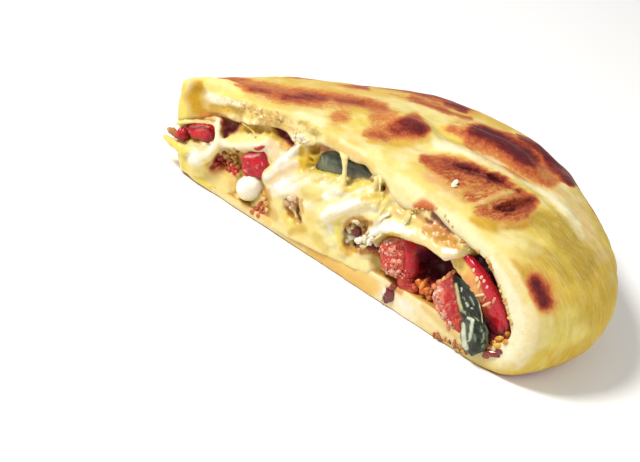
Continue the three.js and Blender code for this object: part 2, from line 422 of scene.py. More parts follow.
# ------------------------------------------------------------------ body of the dough
ANGLE = np.array([0, 25, 50, 75, 100, 125, 150, 180.0])
CROWN = 41.2
PLAN = {
    "radius": [70.0, 82.5, 86.5, 96.5, 108.5, 96.5, 84.5, 73.6],
    "edge": [13.5, 15.2, 15.8, 15.2, 13.8, 15.6, 19.5, 24.5],
    "shoulder": [41.2, 41.4, 41.4, 41.0, 39.6, 37.6, 34.4, 31.2],
    "round": [2.48, 2.44, 2.38, 2.28, 2.12, 2.0, 1.88, 1.85],
    "flat": [0.84, 0.81, 0.76, 0.72, 0.70, 0.71, 0.74, 0.78],
    "wall": [8.0, 8.5, 9.5, 10.5, 12.0, 10.5, 9.0, 7.0],
}
FINE = np.linspace(0, 180, 3601)


def natural(y):
    x, y, n = ANGLE, np.array(y, float), len(ANGLE)
    a, b = np.zeros((n, n)), np.zeros(n)
    a[0, 0] = a[-1, -1] = 1
    for i in range(1, n - 1):
        h0, h1 = x[i] - x[i - 1], x[i + 1] - x[i]
        a[i, i - 1], a[i, i], a[i, i + 1] = h0, 2 * (h0 + h1), h1
        b[i] = 6 * ((y[i + 1] - y[i]) / h1 - (y[i] - y[i - 1]) / h0)
    m = np.linalg.solve(a, b)
    i = np.clip(np.searchsorted(x, FINE) - 1, 0, n - 2)
    h = x[i + 1] - x[i]
    p, q = (x[i + 1] - FINE) / h, (FINE - x[i]) / h
    return p * y[i] + q * y[i + 1] + ((p ** 3 - p) * m[i] + (q ** 3 - q) * m[i + 1]) * h * h / 6


CURVES = {k: natural(v) for k, v in PLAN.items()}


def plan(x, y):
    deg = np.degrees(np.arctan2(np.abs(y), x))
    return {k: np.interp(deg, FINE, v) for k, v in CURVES.items()}


def shell(r, u_top, z, T, E, low, F, R, m):
    """Rough signed distance to a body with crown T, widest line E and bottom low."""
    r_ = np.maximum(r, 1e-4)
    u = np.clip((z - E) / (T - E), 0, None)
    g = (r_ ** m + u ** m) ** (1 / m)
    slope = np.sqrt(((r_ / g) ** (m - 1) / R) ** 2 + ((u / g) ** (m - 1) / (T - E)) ** 2)
    upper = (g - 1) / slope
    a = np.clip((r - F) / (1 - F), 0, None)
    b = 1 - (z - low) / (E - low)
    h = np.sqrt(a * a + b * b) + 1e-9
    lower = (h - 1) / np.sqrt((a / h / (R * (1 - F))) ** 2 + (b / h / (E - low)) ** 2)
    return np.where(z > E, upper, lower)


def body(x, y, z, relief=0.0):
    p = plan(x, y)
    r = np.hypot(x, y) / p["radius"]
    T = CROWN + (p["shoulder"] - CROWN) * r * r + relief
    return shell(r, None, z, T, p["edge"], 0.0, p["flat"], p["radius"], p["round"])


def pocket(x, y, z):
    p = plan(x, y)
    R = p["radius"] - p["wall"]
    r = np.hypot(x, y) / R
    E = np.minimum(p["edge"] + 2.5, p["shoulder"] - 5.2 - 6)
    T = CROWN + (p["shoulder"] - CROWN) * r * r - 5.2 - 2.3 * smooth(0, 90, np.abs(y))
    low = 3.2 + 5.0 * smooth(-40, 24, x) - 3.6 * smooth(36, 56, x)
    return shell(r, None, z, np.maximum(T, E + 1), E, low, p["flat"] - 0.12, R, p["round"])


def ellipsoid(x, y, z, c, half, turn=0.0, box=2.0):
    """Rough distance to an ellipsoid turned about Y by turn degrees."""
    t = math.radians(turn)
    dx, dy, dz = x - c[0], y - c[1], z - c[2]
    ux, uz = dx * math.cos(t) - dz * math.sin(t), dx * math.sin(t) + dz * math.cos(t)
    k = (np.abs(ux / half[0]) ** box + np.abs(dy / half[1]) ** box + np.abs(uz / half[2]) ** box) ** (1 / box)
    return (k - 1) * min(half)


def capsule(x, y, z, a, b, ra, rb):
    """Distance to a tapered rod from a to b."""
    d = np.array(b, float) - a
    t = clamp01(((x - a[0]) * d[0] + (y - a[1]) * d[1] + (z - a[2]) * d[2]) / (d @ d))
    q = np.sqrt((x - a[0] - t * d[0]) ** 2 + (y - a[1] - t * d[1]) ** 2 + (z - a[2] - t * d[2]) ** 2)
    return q - (ra + (rb - ra) * t)


# ------------------------------------------------------------------ features by picture position
def rods(x, y, z, *stops):
    """A chain of tapered rods through stops (u, v, depth, radius)."""
    f = None
    pts = [(at(*s[:3]), s[3]) for s in stops]
    for (a, ra), (b, rb) in zip(pts[:-1], pts[1:]):
        d = capsule(x, y, z, a, b, ra, rb)
        f = d if f is None else smin(f, d, 0.5)
    return f


def seen(v, n):
    """Picture position of points v, and how far their normals n turn to the camera."""
    d = v - CAMERA
    far = -(d @ BACK)
    return CX + FOCAL * (d @ RIGHT) / far, CY - FOCAL * (d @ UP) / far, n @ BACK


def stroke(U, V, stops):
    """1 along a stroke of the picture, 0 at its border and below 0 outside; stops are (u, v, radius) in pixels."""
    best = np.full(len(U), 9.0)
    pairs = list(zip(stops[:-1], stops[1:])) or [(stops[0], stops[0])]
    for (a, b, r), (c, d, s) in pairs:
        du, dv = c - a, d - b
        t = clamp01(((U - a) * du + (V - b) * dv) / max(du * du + dv * dv, 1e-6))
        best = np.minimum(best, np.hypot(U - a - t * du, V - b - t * dv) / (r + (s - r) * t))
    return 1.0 - best


def outline(x, z, marks, depth=0.0):
    """Signed distance in the plane of the cut to a closed outline given by picture positions."""
    p = np.array([at(u, v, depth)[[0, 2]] for u, v in marks])
    best, inside = np.full(np.broadcast(x, z).shape, 1e9), np.zeros(np.broadcast(x, z).shape, bool)
    for a, b in zip(p, np.roll(p, -1, 0)):
        d = b - a
        t = clamp01(((x - a[0]) * d[0] + (z - a[1]) * d[1]) / (d @ d))
        best = np.minimum(best, np.hypot(x - a[0] - t * d[0], z - a[1] - t * d[1]))
        inside ^= ((a[1] > z) != (b[1] > z)) & (x < a[0] + (z - a[1]) * d[0] / (d[1] if d[1] else 1e-9))
    return np.where(inside, -best, best)


def skin(u, v):
    """Where the camera's ray through (u, v) meets the outside of the dough, and the normal there."""
    d = RIGHT * (u - CX) - UP * (v - CY) - BACK * FOCAL
    d = d / np.linalg.norm(d)
    t = np.arange(600.0, 860.0, 0.5)
    p = CAMERA + d * t[:, None]
    f = body(p[:, 0], p[:, 1], p[:, 2], relief(p[:, 0], p[:, 1]))
    hit = np.argmax(f < 0)
    p = p[hit] if f[hit] < 0 else p[np.argmin(f)]
    e = 0.5
    g = [body(*(p + e * k), relief(*(p + e * k)[:2])) - body(*(p - e * k), relief(*(p - e * k)[:2])) for k in np.eye(3)]
    g = np.array(g, float).ravel()
    return p, g / np.linalg.norm(g)


# ------------------------------------------------------------------ crust
# browned places that the picture shows, with one stroke of painted shade under a blister: strength, softness, then (u,
# v, radius) along each
BROWNED_AND_SHADED = [
    (0.40, 0.9, (234, 83, 1.6), (244, 85.5, 4), (262, 89, 6), (285, 94, 8), (300, 97, 8), (330, 98, 7), (350, 100, 6), (384, 106, 4.5)),
    (0.42, 0.9, (284, 96, 3), (303, 97, 5), (322, 99, 4)), (0.6, 0.9, (296, 97, 1.6), (303, 97, 2.6), (311, 98, 1.8)), (0.4, 0.8, (252, 88, 2), (268, 92, 2.6)), (0.35, 0.8, (336, 101, 3), (362, 103, 3)),
    (0.24, 0.9, (250, 92, 8), (300, 99, 13), (350, 101, 10), (380, 108, 8)),
    (0.30, 1.0, (335, 117, 5), (346, 118, 5)), (0.16, 0.9, (340, 118, 12)),
    (0.26, 0.9, (364, 134, 4), (378, 132, 8), (395, 129, 9)), (0.32, 0.9, (374, 118, 6), (392, 115, 7)), (0.2, 0.9, (370, 133, 2.4), (384, 136, 3)),
    # the second stroke here, under the dark blister, is painted shade below it, not browning
    (0.86, 0.8, (404, 122, 6), (412, 122, 8.5), (420, 127, 7.5)), (0.62, 0.9, (395, 129, 6), (410, 131, 7), (423, 131, 5)), (0.26, 0.9, (372, 136, 10), (405, 132, 16), (424, 132, 9)),
    (0.60, 0.8, (352, 82, 1.5), (368, 86, 2)), (0.45, 0.9, (410, 98, 2.4), (425, 102, 3.4), (440, 107, 4), (452, 113, 3.4), (472, 118, 2)),
    (0.80, 0.7, (444, 103, 1.4), (458, 106.5, 2.2), (466, 110.5, 1.6)),
    (0.96, 0.7, (472, 129, 4), (483, 132, 6), (497, 138, 7.5), (512, 147, 8), (525, 156, 8), (533, 163, 5)), (0.5, 0.9, (480, 133, 9), (500, 142, 11), (522, 156, 11), (536, 168, 6)),
    (0.45, 0.9, (455, 128, 6), (466, 131, 7), (475, 136, 7)), (0.20, 0.9, (446, 129, 8)),
    (0.25, 0.9, (468, 142, 5), (485, 150, 6), (503, 158, 6.5), (520, 169, 6), (535, 177, 6), (548, 183, 4)), (0.20, 0.9, (470, 140, 10), (500, 152, 13), (530, 170, 13), (550, 183, 8)), (0.22, 0.9, (524, 172, 3), (538, 177, 4), (548, 182, 3)),
    (0.80, 0.6, (518, 136, 2.5), (530, 141, 4), (538, 147, 4.5), (546, 156, 4)), (0.92, 0.6, (546, 155, 5), (556, 165, 6.5), (566, 176, 6), (572, 184, 4)),
    (0.40, 0.9, (520, 142, 4), (532, 149, 5), (545, 165, 6), (556, 178, 6)),
    # the large rough one in front, with its three hollows and the pale ridges between them
    (0.42, 0.7, (424, 159, 6), (438, 164, 10), (462, 176, 14), (486, 189, 16), (510, 200, 15), (528, 205, 9)), (0.32, 0.9, (424, 158, 5), (438, 163, 8), (452, 168, 8)), (0.32, 0.9, (446, 161, 5), (470, 168, 7), (492, 176, 7)),
    (0.72, 0.8, (456, 165.5, 3), (464, 167, 4.6), (474, 169, 5), (486, 173.5, 4)), (0.84, 0.8, (491, 177.5, 4), (498, 179, 6), (504, 181, 4.4)), (0.45, 0.8, (508, 184, 4), (516, 189, 4), (524, 193, 3)),
    (0.60, 0.9, (496, 208, 4), (508, 207, 6), (520, 203, 6), (531, 200, 5)), (0.42, 0.9, (478, 212, 5), (494, 216, 6), (512, 217, 7), (526, 213, 7), (535, 204, 5)), (0.30, 0.9, (466, 196, 5), (480, 206, 5)),
    (-0.45, 0.9, (484.5, 179, 1.8), (487, 174, 2), (492, 171.5, 1.8), (499, 171, 1.6)), (-0.70, 0.9, (470, 206, 2), (488, 200, 3), (503, 195, 3.6), (518, 189, 2.6)), (-0.26, 0.9, (452, 190, 4), (474, 190, 5), (494, 189, 4)),
    (0.14, 1.0, (440, 165, 16), (470, 182, 24), (505, 202, 22)),
    (0.50, 0.8, (413, 206, 3), (422, 203, 6), (431, 206, 4)), (0.4, 0.9, (424, 196, 3)),
    (0.97, 1.0, (533.5, 281, 7.5), (539, 291, 10), (545, 302, 7)), (0.26, 1.0, (533, 279, 12), (540, 292, 16), (547, 306, 12)),
    (0.50, 0.7, (434, 344, 3), (442, 350, 4), (454, 356, 3)), (0.40, 0.8, (455, 362, 5), (470, 368, 6)),
]
# browned places round the back and on the seam side: centre, half length and half width as vectors (mm), strength
BROWNED_BEHIND = {
    "far": ((-18.7, 62.7, 35.4), (-12.4, -3.9), (-2.4, 4.4), 0.40),
    "tip": ((17.1, 84.6, 30.0), (-9.8, -0.9), (-3.0, 8.8), 0.70),
    "back_a": ((-33.0, 80.0, 27.0), (15.0, 6.0), (-5.0, 8.0), 0.80),
    "back_aa": ((-25.0, 86.0, 25.0), (6.0, 2.0), (-2.0, 6.0), 0.55),
    "back_b": ((-6.0, 102.0, 18.0), (7.0, 1.0, 0.0), (0.0, 2.0, 3.6), 0.50),
    "back_c": ((40.0, 78.0, 25.0), (8.0, -6.0), (3.0, 5.0), 0.62),
    "back_d": ((-60.0, 48.0, 23.0), (3.0, 9.0), (-4.0, 2.0), 0.55),
    "back_f": ((-44.0, 52.0, 33.0), (5.0, 1.0), (-2.0, 6.0), 0.46),
    "back_g": ((26.0, 94.0, 15.0), (6.0, -2.5, 0.0), (0.0, 2.0, 3.0), 0.42),
    "back_h": ((-3.0, 92.0, 27.0), (4.0, 0.5), (-1.0, 4.0), 0.45),
    "seam": ((-70.0, 24.0, 24.0), (1.0, 6.0, 0.0), (-3.0, 0.0, 4.0), 0.50),
}
IVORY, STRAW, LEMON = lin(252, 243, 204), lin(244, 228, 156), lin(238, 219, 114)
GOLD, OLIVE, HONEY, SAND = lin(216, 178, 56), lin(178, 146, 44), lin(226, 178, 84), lin(226, 196, 138)
# colour of the bare dough where the picture shows it, with painted shade in the lip's hollow and on the closed end's
# right side: colour, strength, softness, then (u, v, radius) along each
DOUGH = [
    # the first stroke is painted shade in the hollow inside the lip
    (lin(200, 156, 34), 0.85, 1.0, (195, 84, 6), (192, 98, 8), (194, 110, 8)),
    (LEMON, 0.7, 0.6, (184, 80, 6), (215, 80, 6), (240, 78, 3)), (LEMON, 0.7, 0.7, (210, 90, 6), (240, 97, 6), (275, 106, 5)),
    (HONEY, 0.55, 0.8, (285, 82, 4), (345, 88, 6), (395, 96, 6)), (HONEY, 0.6, 0.8, (400, 93, 4), (440, 104, 6), (475, 116, 5), (508, 128, 4)),
    (STRAW, 0.8, 0.8, (360, 99, 4), (400, 105, 6), (430, 115, 7), (452, 120, 5), (482, 122, 3)),
    (STRAW, 0.7, 0.8, (330, 112, 10), (300, 112, 8)), (IVORY, 0.6, 0.8, (300, 118, 6), (320, 122, 7)),
    (HONEY, 0.45, 0.9, (330, 135, 9), (356, 148, 8)), (STRAW, 0.7, 0.8, (440, 140, 7), (410, 152, 10), (395, 160, 9)),
    (GOLD, 0.7, 0.7, (368, 143, 3), (400, 142, 4), (428, 139, 4)), (LEMON, 0.6, 0.8, (390, 178, 8), (408, 190, 8)),
    (IVORY, 0.95, 0.6, (436, 145, 4), (463, 151, 5), (490, 160, 6), (512, 170, 6), (535, 184, 6), (552, 197, 6), (570, 211, 5)),
    (HONEY, 0.6, 0.7, (500, 161, 3), (522, 173, 4), (545, 187, 4)),
    (SAND, 0.8, 0.8, (546, 180, 6), (562, 190, 9), (578, 212, 8), (590, 234, 7)), (IVORY, 0.7, 0.6, (560, 207, 4), (573, 220, 5), (582, 236, 3)),
    # the OLIVE strokes on the right of the closed end are partly the dough's olive tone and partly painted shade on
    # that side
    (OLIVE, 0.9, 0.8, (536, 216, 8), (552, 224, 11), (567, 240, 13), (582, 258, 14), (590, 276, 12)),
    (OLIVE, 0.6, 0.8, (556, 258, 9), (566, 276, 9)), (LEMON, 0.4, 0.8, (545, 234, 7)),
    (lin(208, 160, 36), 0.95, 0.7, (476, 223, 6), (500, 226, 7), (522, 223, 7)),
    (lin(246, 234, 188), 0.85, 0.8, (440, 204, 5), (452, 216, 7), (468, 232, 8), (482, 247, 6), (500, 262, 5)),
    (STRAW, 0.85, 0.8, (505, 238, 8), (520, 240, 9), (536, 248, 7)), (GOLD, 0.75, 0.8, (508, 262, 5), (520, 276, 7), (528, 268, 6)),
    (SAND, 0.5, 0.9, (600, 250, 6), (611, 280, 6)), (GOLD, 0.85, 0.8, (600, 292, 12), (596, 315, 10), (604, 270, 9)),
    (lin(224, 166, 108), 0.9, 0.9, (432, 176, 8), (452, 186, 10), (476, 194, 12), (500, 200, 11), (522, 206, 7)), (lin(206, 152, 56), 0.8, 1.0, (533, 276, 12), (541, 293, 17), (548, 312, 12)),
    (LEMON, 0.85, 0.8, (568, 316, 12), (556, 336, 14), (578, 334, 12)), (STRAW, 0.7, 0.9, (545, 322, 10), (536, 344, 11)),
    (GOLD, 0.85, 0.8, (500, 374, 5), (530, 376, 6), (560, 364, 6), (590, 344, 7)), (LEMON, 0.9, 0.8, (510, 364, 7), (540, 362, 7)),
    (lin(228, 194, 92), 0.55, 0.9, (306, 123, 4), (320, 130, 4.5), (336, 138, 4)), (lin(232, 206, 108), 0.50, 0.9, (370, 159, 4), (382, 167, 4.5), (392, 175, 4)), (lin(228, 190, 98), 0.55, 0.9, (429, 194, 4), (441, 201, 5), (453, 209, 4)),
    (lin(196, 146, 42), 0.65, 0.9, (514, 262, 5), (521, 272, 6), (527, 283, 5)), (lin(190, 154, 50), 0.60, 0.9, (532, 246, 6), (542, 252, 7), (551, 263, 6)), (lin(184, 126, 38), 0.60, 0.9, (508, 226, 4), (520, 225, 5), (532, 222, 4)), (lin(216, 184, 44), 0.55, 0.9, (520, 366, 5), (534, 362, 6), (548, 354, 6)),
    (lin(204, 90, 44), 0.95, 0.9, (415, 206.5, 3), (423, 203, 5.5), (432, 207, 4)), (lin(190, 60, 44), 0.8, 0.9, (418, 208, 2), (425, 207, 2.6), (432, 210, 2)),
]
# colour of the cut: the same, on the faces that point out of the cut, with painted shade in the lip's hollow and a
# painted highlight on its rim
CUT = [
    # the dark golden stroke is painted shade in the hollow inside the lip; the pale lemon stroke on its outer rim is a
    # painted highlight
    (LEMON, 0.9, 0.7, (179, 86, 6), (180, 105, 6), (184, 118, 7)), (lin(198, 150, 26), 1.0, 1.0, (198, 84, 7), (194, 97, 10), (198, 109, 10), (208, 116, 5)), (lin(238, 216, 104), 0.8, 0.9, (184, 82, 4), (179.5, 96, 3.4), (183, 112, 3)), (lin(184, 126, 40), 0.8, 0.9, (203, 112, 4), (212, 114, 3)),
    (LEMON, 0.9, 0.6, (206, 84, 4), (225, 91, 5), (250, 98, 5), (276, 104, 4)),
    (lin(232, 202, 122), 0.9, 0.7, (212, 90, 5), (236, 96, 5), (256, 103, 5), (280, 110, 5), (300, 118, 4)), (lin(252, 242, 208), 0.95, 0.7, (208, 96, 3.6), (218, 99, 4.4), (230, 101, 3.4), (240, 105, 2)),
    (lin(214, 170, 58), 0.95, 0.7, (212, 107, 4), (228, 109, 4.5), (243, 112, 4)), (lin(232, 198, 116), 0.95, 0.7, (250, 113, 6), (268, 116, 6), (284, 121, 6)),
    (lin(222, 184, 104), 0.7, 0.8, (262, 121, 4), (282, 124, 4), (298, 132, 4)),
    (lin(196, 122, 46), 0.9, 0.8, (204, 115, 3), (216, 114, 3), (226, 118, 3)),
    (STRAW, 0.85, 0.8, (300, 122, 9), (330, 136, 9), (360, 152, 9), (385, 172, 8), (405, 190, 8), (425, 208, 6)), (lin(246, 234, 184), 0.8, 0.8, (312, 116, 6), (335, 128, 6), (352, 146, 7), (372, 158, 7), (392, 172, 7), (412, 190, 7), (430, 202, 5)),
    (HONEY, 0.6, 0.9, (330, 142, 4), (352, 152, 4), (372, 168, 4)),
    (lin(244, 234, 186), 1.0, 0.8, (445, 220, 7), (470, 242, 8), (484, 253, 8)), (lin(252, 245, 206), 1.0, 0.8, (497, 264, 8), (513, 290, 8), (518, 320, 8), (514, 345, 8), (500, 364, 8)),
    (lin(250, 236, 190), 0.9, 0.8, (470, 362, 8), (440, 336, 8), (412, 316, 9), (392, 300, 8)), (LEMON, 0.7, 0.8, (462, 372, 5), (490, 376, 5), (520, 374, 5)),
    (lin(238, 198, 112), 0.95, 0.8, (372, 287, 8), (350, 270, 8), (325, 255, 8), (300, 240, 7), (275, 222, 6), (250, 205, 5), (225, 190, 5), (200, 176, 5)),
    (lin(228, 178, 86), 0.6, 0.9, (365, 290, 5), (340, 272, 5), (310, 252, 4)), (lin(252, 240, 204), 0.8, 0.8, (396, 312, 5), (420, 326, 6), (444, 342, 5)),
    (lin(228, 194, 92), 0.55, 0.9, (306, 123, 4), (320, 130, 4.5), (336, 138, 4)), (lin(232, 206, 108), 0.50, 0.9, (370, 159, 4), (382, 167, 4.5), (392, 175, 4)), (lin(228, 190, 98), 0.55, 0.9, (429, 194, 4), (441, 201, 5), (453, 209, 4)),
    (lin(236, 208, 112), 0.55, 0.9, (420, 322, 4), (436, 334, 5), (470, 358, 5), (492, 367, 5), (512, 368, 5)), (lin(226, 186, 72), 0.80, 0.9, (404, 322, 2.6), (424, 336, 3.2), (440, 346, 3.6), (458, 358, 4), (476, 368, 4.6), (494, 375, 4.6), (512, 377, 4.6)),
    (lin(226, 184, 92), 0.60, 0.9, (424, 306, 3), (432, 315, 4), (444, 325, 4), (456, 336, 3.4)), (lin(254, 250, 236), 0.7, 0.9, (399, 301, 3.6), (408, 308, 4.4)), (lin(214, 130, 60), 0.85, 0.8, (395, 289, 2.6), (401, 292.5, 2.6)),
    (lin(232, 206, 114), 0.60, 0.9, (498, 255, 3.6), (508, 270, 4), (518, 287, 4), (525, 300, 4)),
    (lin(204, 90, 44), 0.95, 0.9, (415, 206.5, 3), (423, 204, 5.5), (432, 208, 4)), (lin(190, 60, 44), 0.8, 0.9, (418, 209, 2), (425, 209, 2.6), (432, 211, 2)),
]
SEAM_GAP = [(140, 126), (168, 123), (178, 121), (188, 119), (198, 116.5), (207, 114), (215, 114), (224, 118), (240, 128), (244, 160), (232, 190), (220, 192), (208, 184.5), (196, 177.5), (187, 170.5), (178, 163), (150, 160)]


# upper edge of the opening as the picture shows it; the rest of the outline lies outside the pocket
MOUTH = [(140, 120), (178, 119.5), (188, 119), (198, 118.5), (207, 117.5), (213, 115.5), (219, 115), (225, 117), (232, 119.5), (240, 121.5), (248, 125), (256, 124.5), (264, 124.5),
         (271, 121.5), (277, 122), (281, 127), (287, 131.5), (291, 139), (297, 145.5), (305, 146.5), (313, 146), (318, 143.5), (327, 143), (333, 145.5), (339, 150), (342, 155), (345, 163),
         (348, 157.5), (352, 156.5), (358, 158), (364, 162), (369, 169), (372, 174), (378, 176.5), (384, 181), (388, 187), (389.5, 194), (395, 202), (404, 208.5), (413, 211), (424, 211),
         (433, 211), (438, 215.5), (444.5, 223.5), (451, 230.5), (461, 239), (470, 247.5), (477, 251), (483.5, 253.5), (488, 262), (493, 272), (498, 284), (502.5, 297), (506, 309), (510, 322), (512, 333), (510, 345), (505, 357), (496, 364), (482, 372), (300, 420), (140, 260)]


def mouth(g):
    """Keeps the opening to that edge near the cut, and frees it further in. It follows the line of sight."""
    X, Y, Z = g
    f = np.full((len(X), len(Y), len(Z)), -20.0)
    for j, y in enumerate(Y):
        if y < 9.5:
            c = min(max(y, 0.0), 4.0)
            f[:, j, :] = outline(X[:, None] - BACK[0] / BACK[1] * c, Z[None, :] - BACK[2] / BACK[1] * c, MOUTH) - 14 * smooth(4.0, 9.0, y)
    return f


def vectors(s):
    c, a, b, w = s
    a, b = np.array([*a, 0.0][:3]), np.array([*b, 0.0][:3])
    return np.array(c, float), a, b, w


def spot(p, s):
    """1 in the middle of a browned place, 0 at its border and below 0 outside."""
    c, a, b, _ = vectors(s)
    m = np.stack([a, b, np.cross(a, b) / np.linalg.norm(np.cross(a, b)) * 12.0], 1)
    q = (p - c) @ np.linalg.inv(m).T
    return 1.0 - np.sqrt((q ** 2).sum(1))


def swell(x, y, c, a, b, up, power=1.0):
    """A soft swelling of the crust in plan."""
    det = a[0] * b[1] - a[1] * b[0]
    dx, dy = x - c[0], y - c[1]
    u, v = (dx * b[1] - dy * b[0]) / det, (dy * a[0] - dx * a[1]) / det
    return up * np.exp(-((u * u + v * v) ** power))


def groove(x, y, a, b, depth, width, end=0.1):
    d = np.array(b, float) - a
    L = np.hypot(*d)
    t = ((x - a[0]) * d[0] + (y - a[1]) * d[1]) / (L * L)
    s = clamp01(t)
    r = np.hypot(x - a[0] - s * d[0], y - a[1] - s * d[1])
    return depth * np.exp(-(r / width) ** 2) * smooth(-end, end, t) * smooth(-end, end, 1 - t)


def relief(x, y):
    h = swell(x, y, (-8, 32), (7, 4), (-6, 9), 2.5, 1.6)
    h = h + swell(x, y, (-14, 22), (-8, -8), (-5, 7), 0.8)
    h = h + swell(x, y, (26, 22), (-16, -6), (-9, 15), 0.9, 1.6)
    h = h + swell(x, y, (8, 54), (-15, -4), (-4.5, 8), 2.3, 1.5)
    h = h + swell(x, y, (23, 58), (-11, -1), (-3, 7), 1.6, 1.3)
    h = h + swell(x, y, (8, 80), (-10, -3), (-5, 11), 2.0, 1.4)
    h = h + swell(x, y, (27, 74), (-10, 3), (-5, 11), 2.4, 1.4)
    h = h + swell(x, y, (-18, 62), (-15, -5), (-3, 6), 0.9)
    h = h + swell(x, y, (-36, 84), (12, 8), (-7, 10), 1.4)
    h = h + swell(x, y, (-44, 18), (-20, -3), (-3, 6), 0.5)
    h = h + swell(x, y, (-24, 8), (8, 2), (-2, 5), 0.5)
    h = h - groove(x, y, (-6, 42), (36, 50), 1.5, 3.0)
    h = h + groove(x, y, (0, 30), (24, 39), 0.9, 3.0)
    h = h + groove(x, y, (24, 41), (52, 36), 1.2, 3.6)
    h = h - groove(x, y, (-16, 44), (6, 68), 1.0, 3.4)
    h = h - groove(x, y, (-60, 24), (-24, 38), 0.8, 3.5)
    h = h - groove(x, y, (-30, 55), (12, 90), 0.8, 4.0)
    h = h - groove(x, y, (14, 66), (34, 88), 1.4, 3.2)
    h = h - groove(x, y, (42, 58), (60, 30), 0.6, 4.0)
    h = h - groove(x, y, (-6, 15), (12, 32), 0.9, 3.6)
    h = h - groove(x, y, (44, 8), (54, 34), 0.6, 4.0)
    return h


def along_skin(x, y, z, *stops):
    """Rods lying in the outside of the dough: stops (u, v, radius, rise), the rod's top standing out by rise."""
    pts = []
    for u, v, r, rise in stops:
        p, n = skin(u, v)
        pts.append((p + n * (rise - r), r))
    f = None
    for (a, ra), (b, rb) in zip(pts[:-1], pts[1:]):
        d = capsule(x, y, z, a, b, ra, rb)
        f = d if f is None else smin(f, d, 0.5)
    return f


def on_skin(f, g, k, stops, cut=False):
    pts = np.array([skin(s[0], s[1])[0] for s in stops])
    r = max(s[2] for s in stops) * 2 + 2.5
    sl = tuple(slice(max(0, int(np.searchsorted(c, pts[:, i].min() - r)) - 1), int(np.searchsorted(c, pts[:, i].max() + r)) + 1) for i, c in enumerate(g))
    d = along_skin(g[0][sl[0]][:, None, None], g[1][sl[1]][None, :, None], g[2][sl[2]][None, None, :], *stops)
    f[sl] = smax(f[sl], -d, k) if cut else smin(f[sl], d, k)


RAISED = [   # blend, then (u, v, radius in mm, rise in mm) along each blister or fold of skin
    (3.0, (396, 117, 6.0, 0.2), (410, 122, 7.5, 0.6), (420, 126, 6.5, 0.5)),
    (3.0, (455, 129, 5.0, 0.0), (475, 132, 6.0, 0.4), (500, 142, 7.0, 0.7), (522, 155, 6.0, 0.5), (534, 165, 5.0, 0.1)),
    (2.4, (524, 141, 4.0, 0.3), (536, 146, 5.0, 0.6), (543, 152, 4.0, 0.3)), (2.4, (550, 161, 5.0, 0.4), (562, 172, 5.5, 0.6), (570, 183, 4.0, 0.1)),
    (2.2, (440, 149, 3.0, 0.0), (470, 156, 3.6, 0.4), (505, 170, 4.0, 0.6), (540, 191, 4.0, 0.6), (566, 211, 3.2, 0.1)),
    (0.6, (485, 181, 0.9, 0.1), (485.5, 176.5, 1.1, 0.5), (490, 172, 1.1, 0.6), (497, 171.5, 1.0, 0.4), (503, 174, 0.8, 0.1)),
    (0.7, (470, 206, 0.9, 0.1), (486, 201.5, 1.2, 0.5), (502, 194.5, 1.4, 0.7), (518, 188.5, 1.2, 0.4), (526, 187, 0.8, 0.1)),
    (0.5, (450, 192, 0.8, 0.1), (468, 190.5, 1.0, 0.4), (484, 187, 0.9, 0.3)), (0.5, (498, 187, 0.8, 0.2), (512, 183, 0.8, 0.3)), (0.5, (462, 183, 0.7, 0.2), (478, 181, 0.8, 0.4)),
    (0.5, (444, 199, 0.8, 0.1), (460, 199, 1.0, 0.4), (470, 197, 0.8, 0.2)), (0.5, (506, 178, 0.8, 0.3), (512, 181, 0.8, 0.3)),
]
SUNK = [
    (0.9, (457, 165.5, 1.2, 0.3), (469, 168, 1.8, 0.6), (480, 171, 1.6, 0.5), (487, 174, 1.0, 0.1)),
    (0.9, (491.5, 177.5, 1.8, 0.5), (498, 179, 2.3, 0.9), (503.5, 181, 1.7, 0.4)),
    (0.8, (497, 208, 1.1, 0.2), (508, 206, 1.7, 0.6), (520, 201.5, 1.7, 0.6), (531, 199, 1.1, 0.2)), (0.5, (511, 188.5, 0.8, 0.2), (519, 191, 0.9, 0.3)),
]


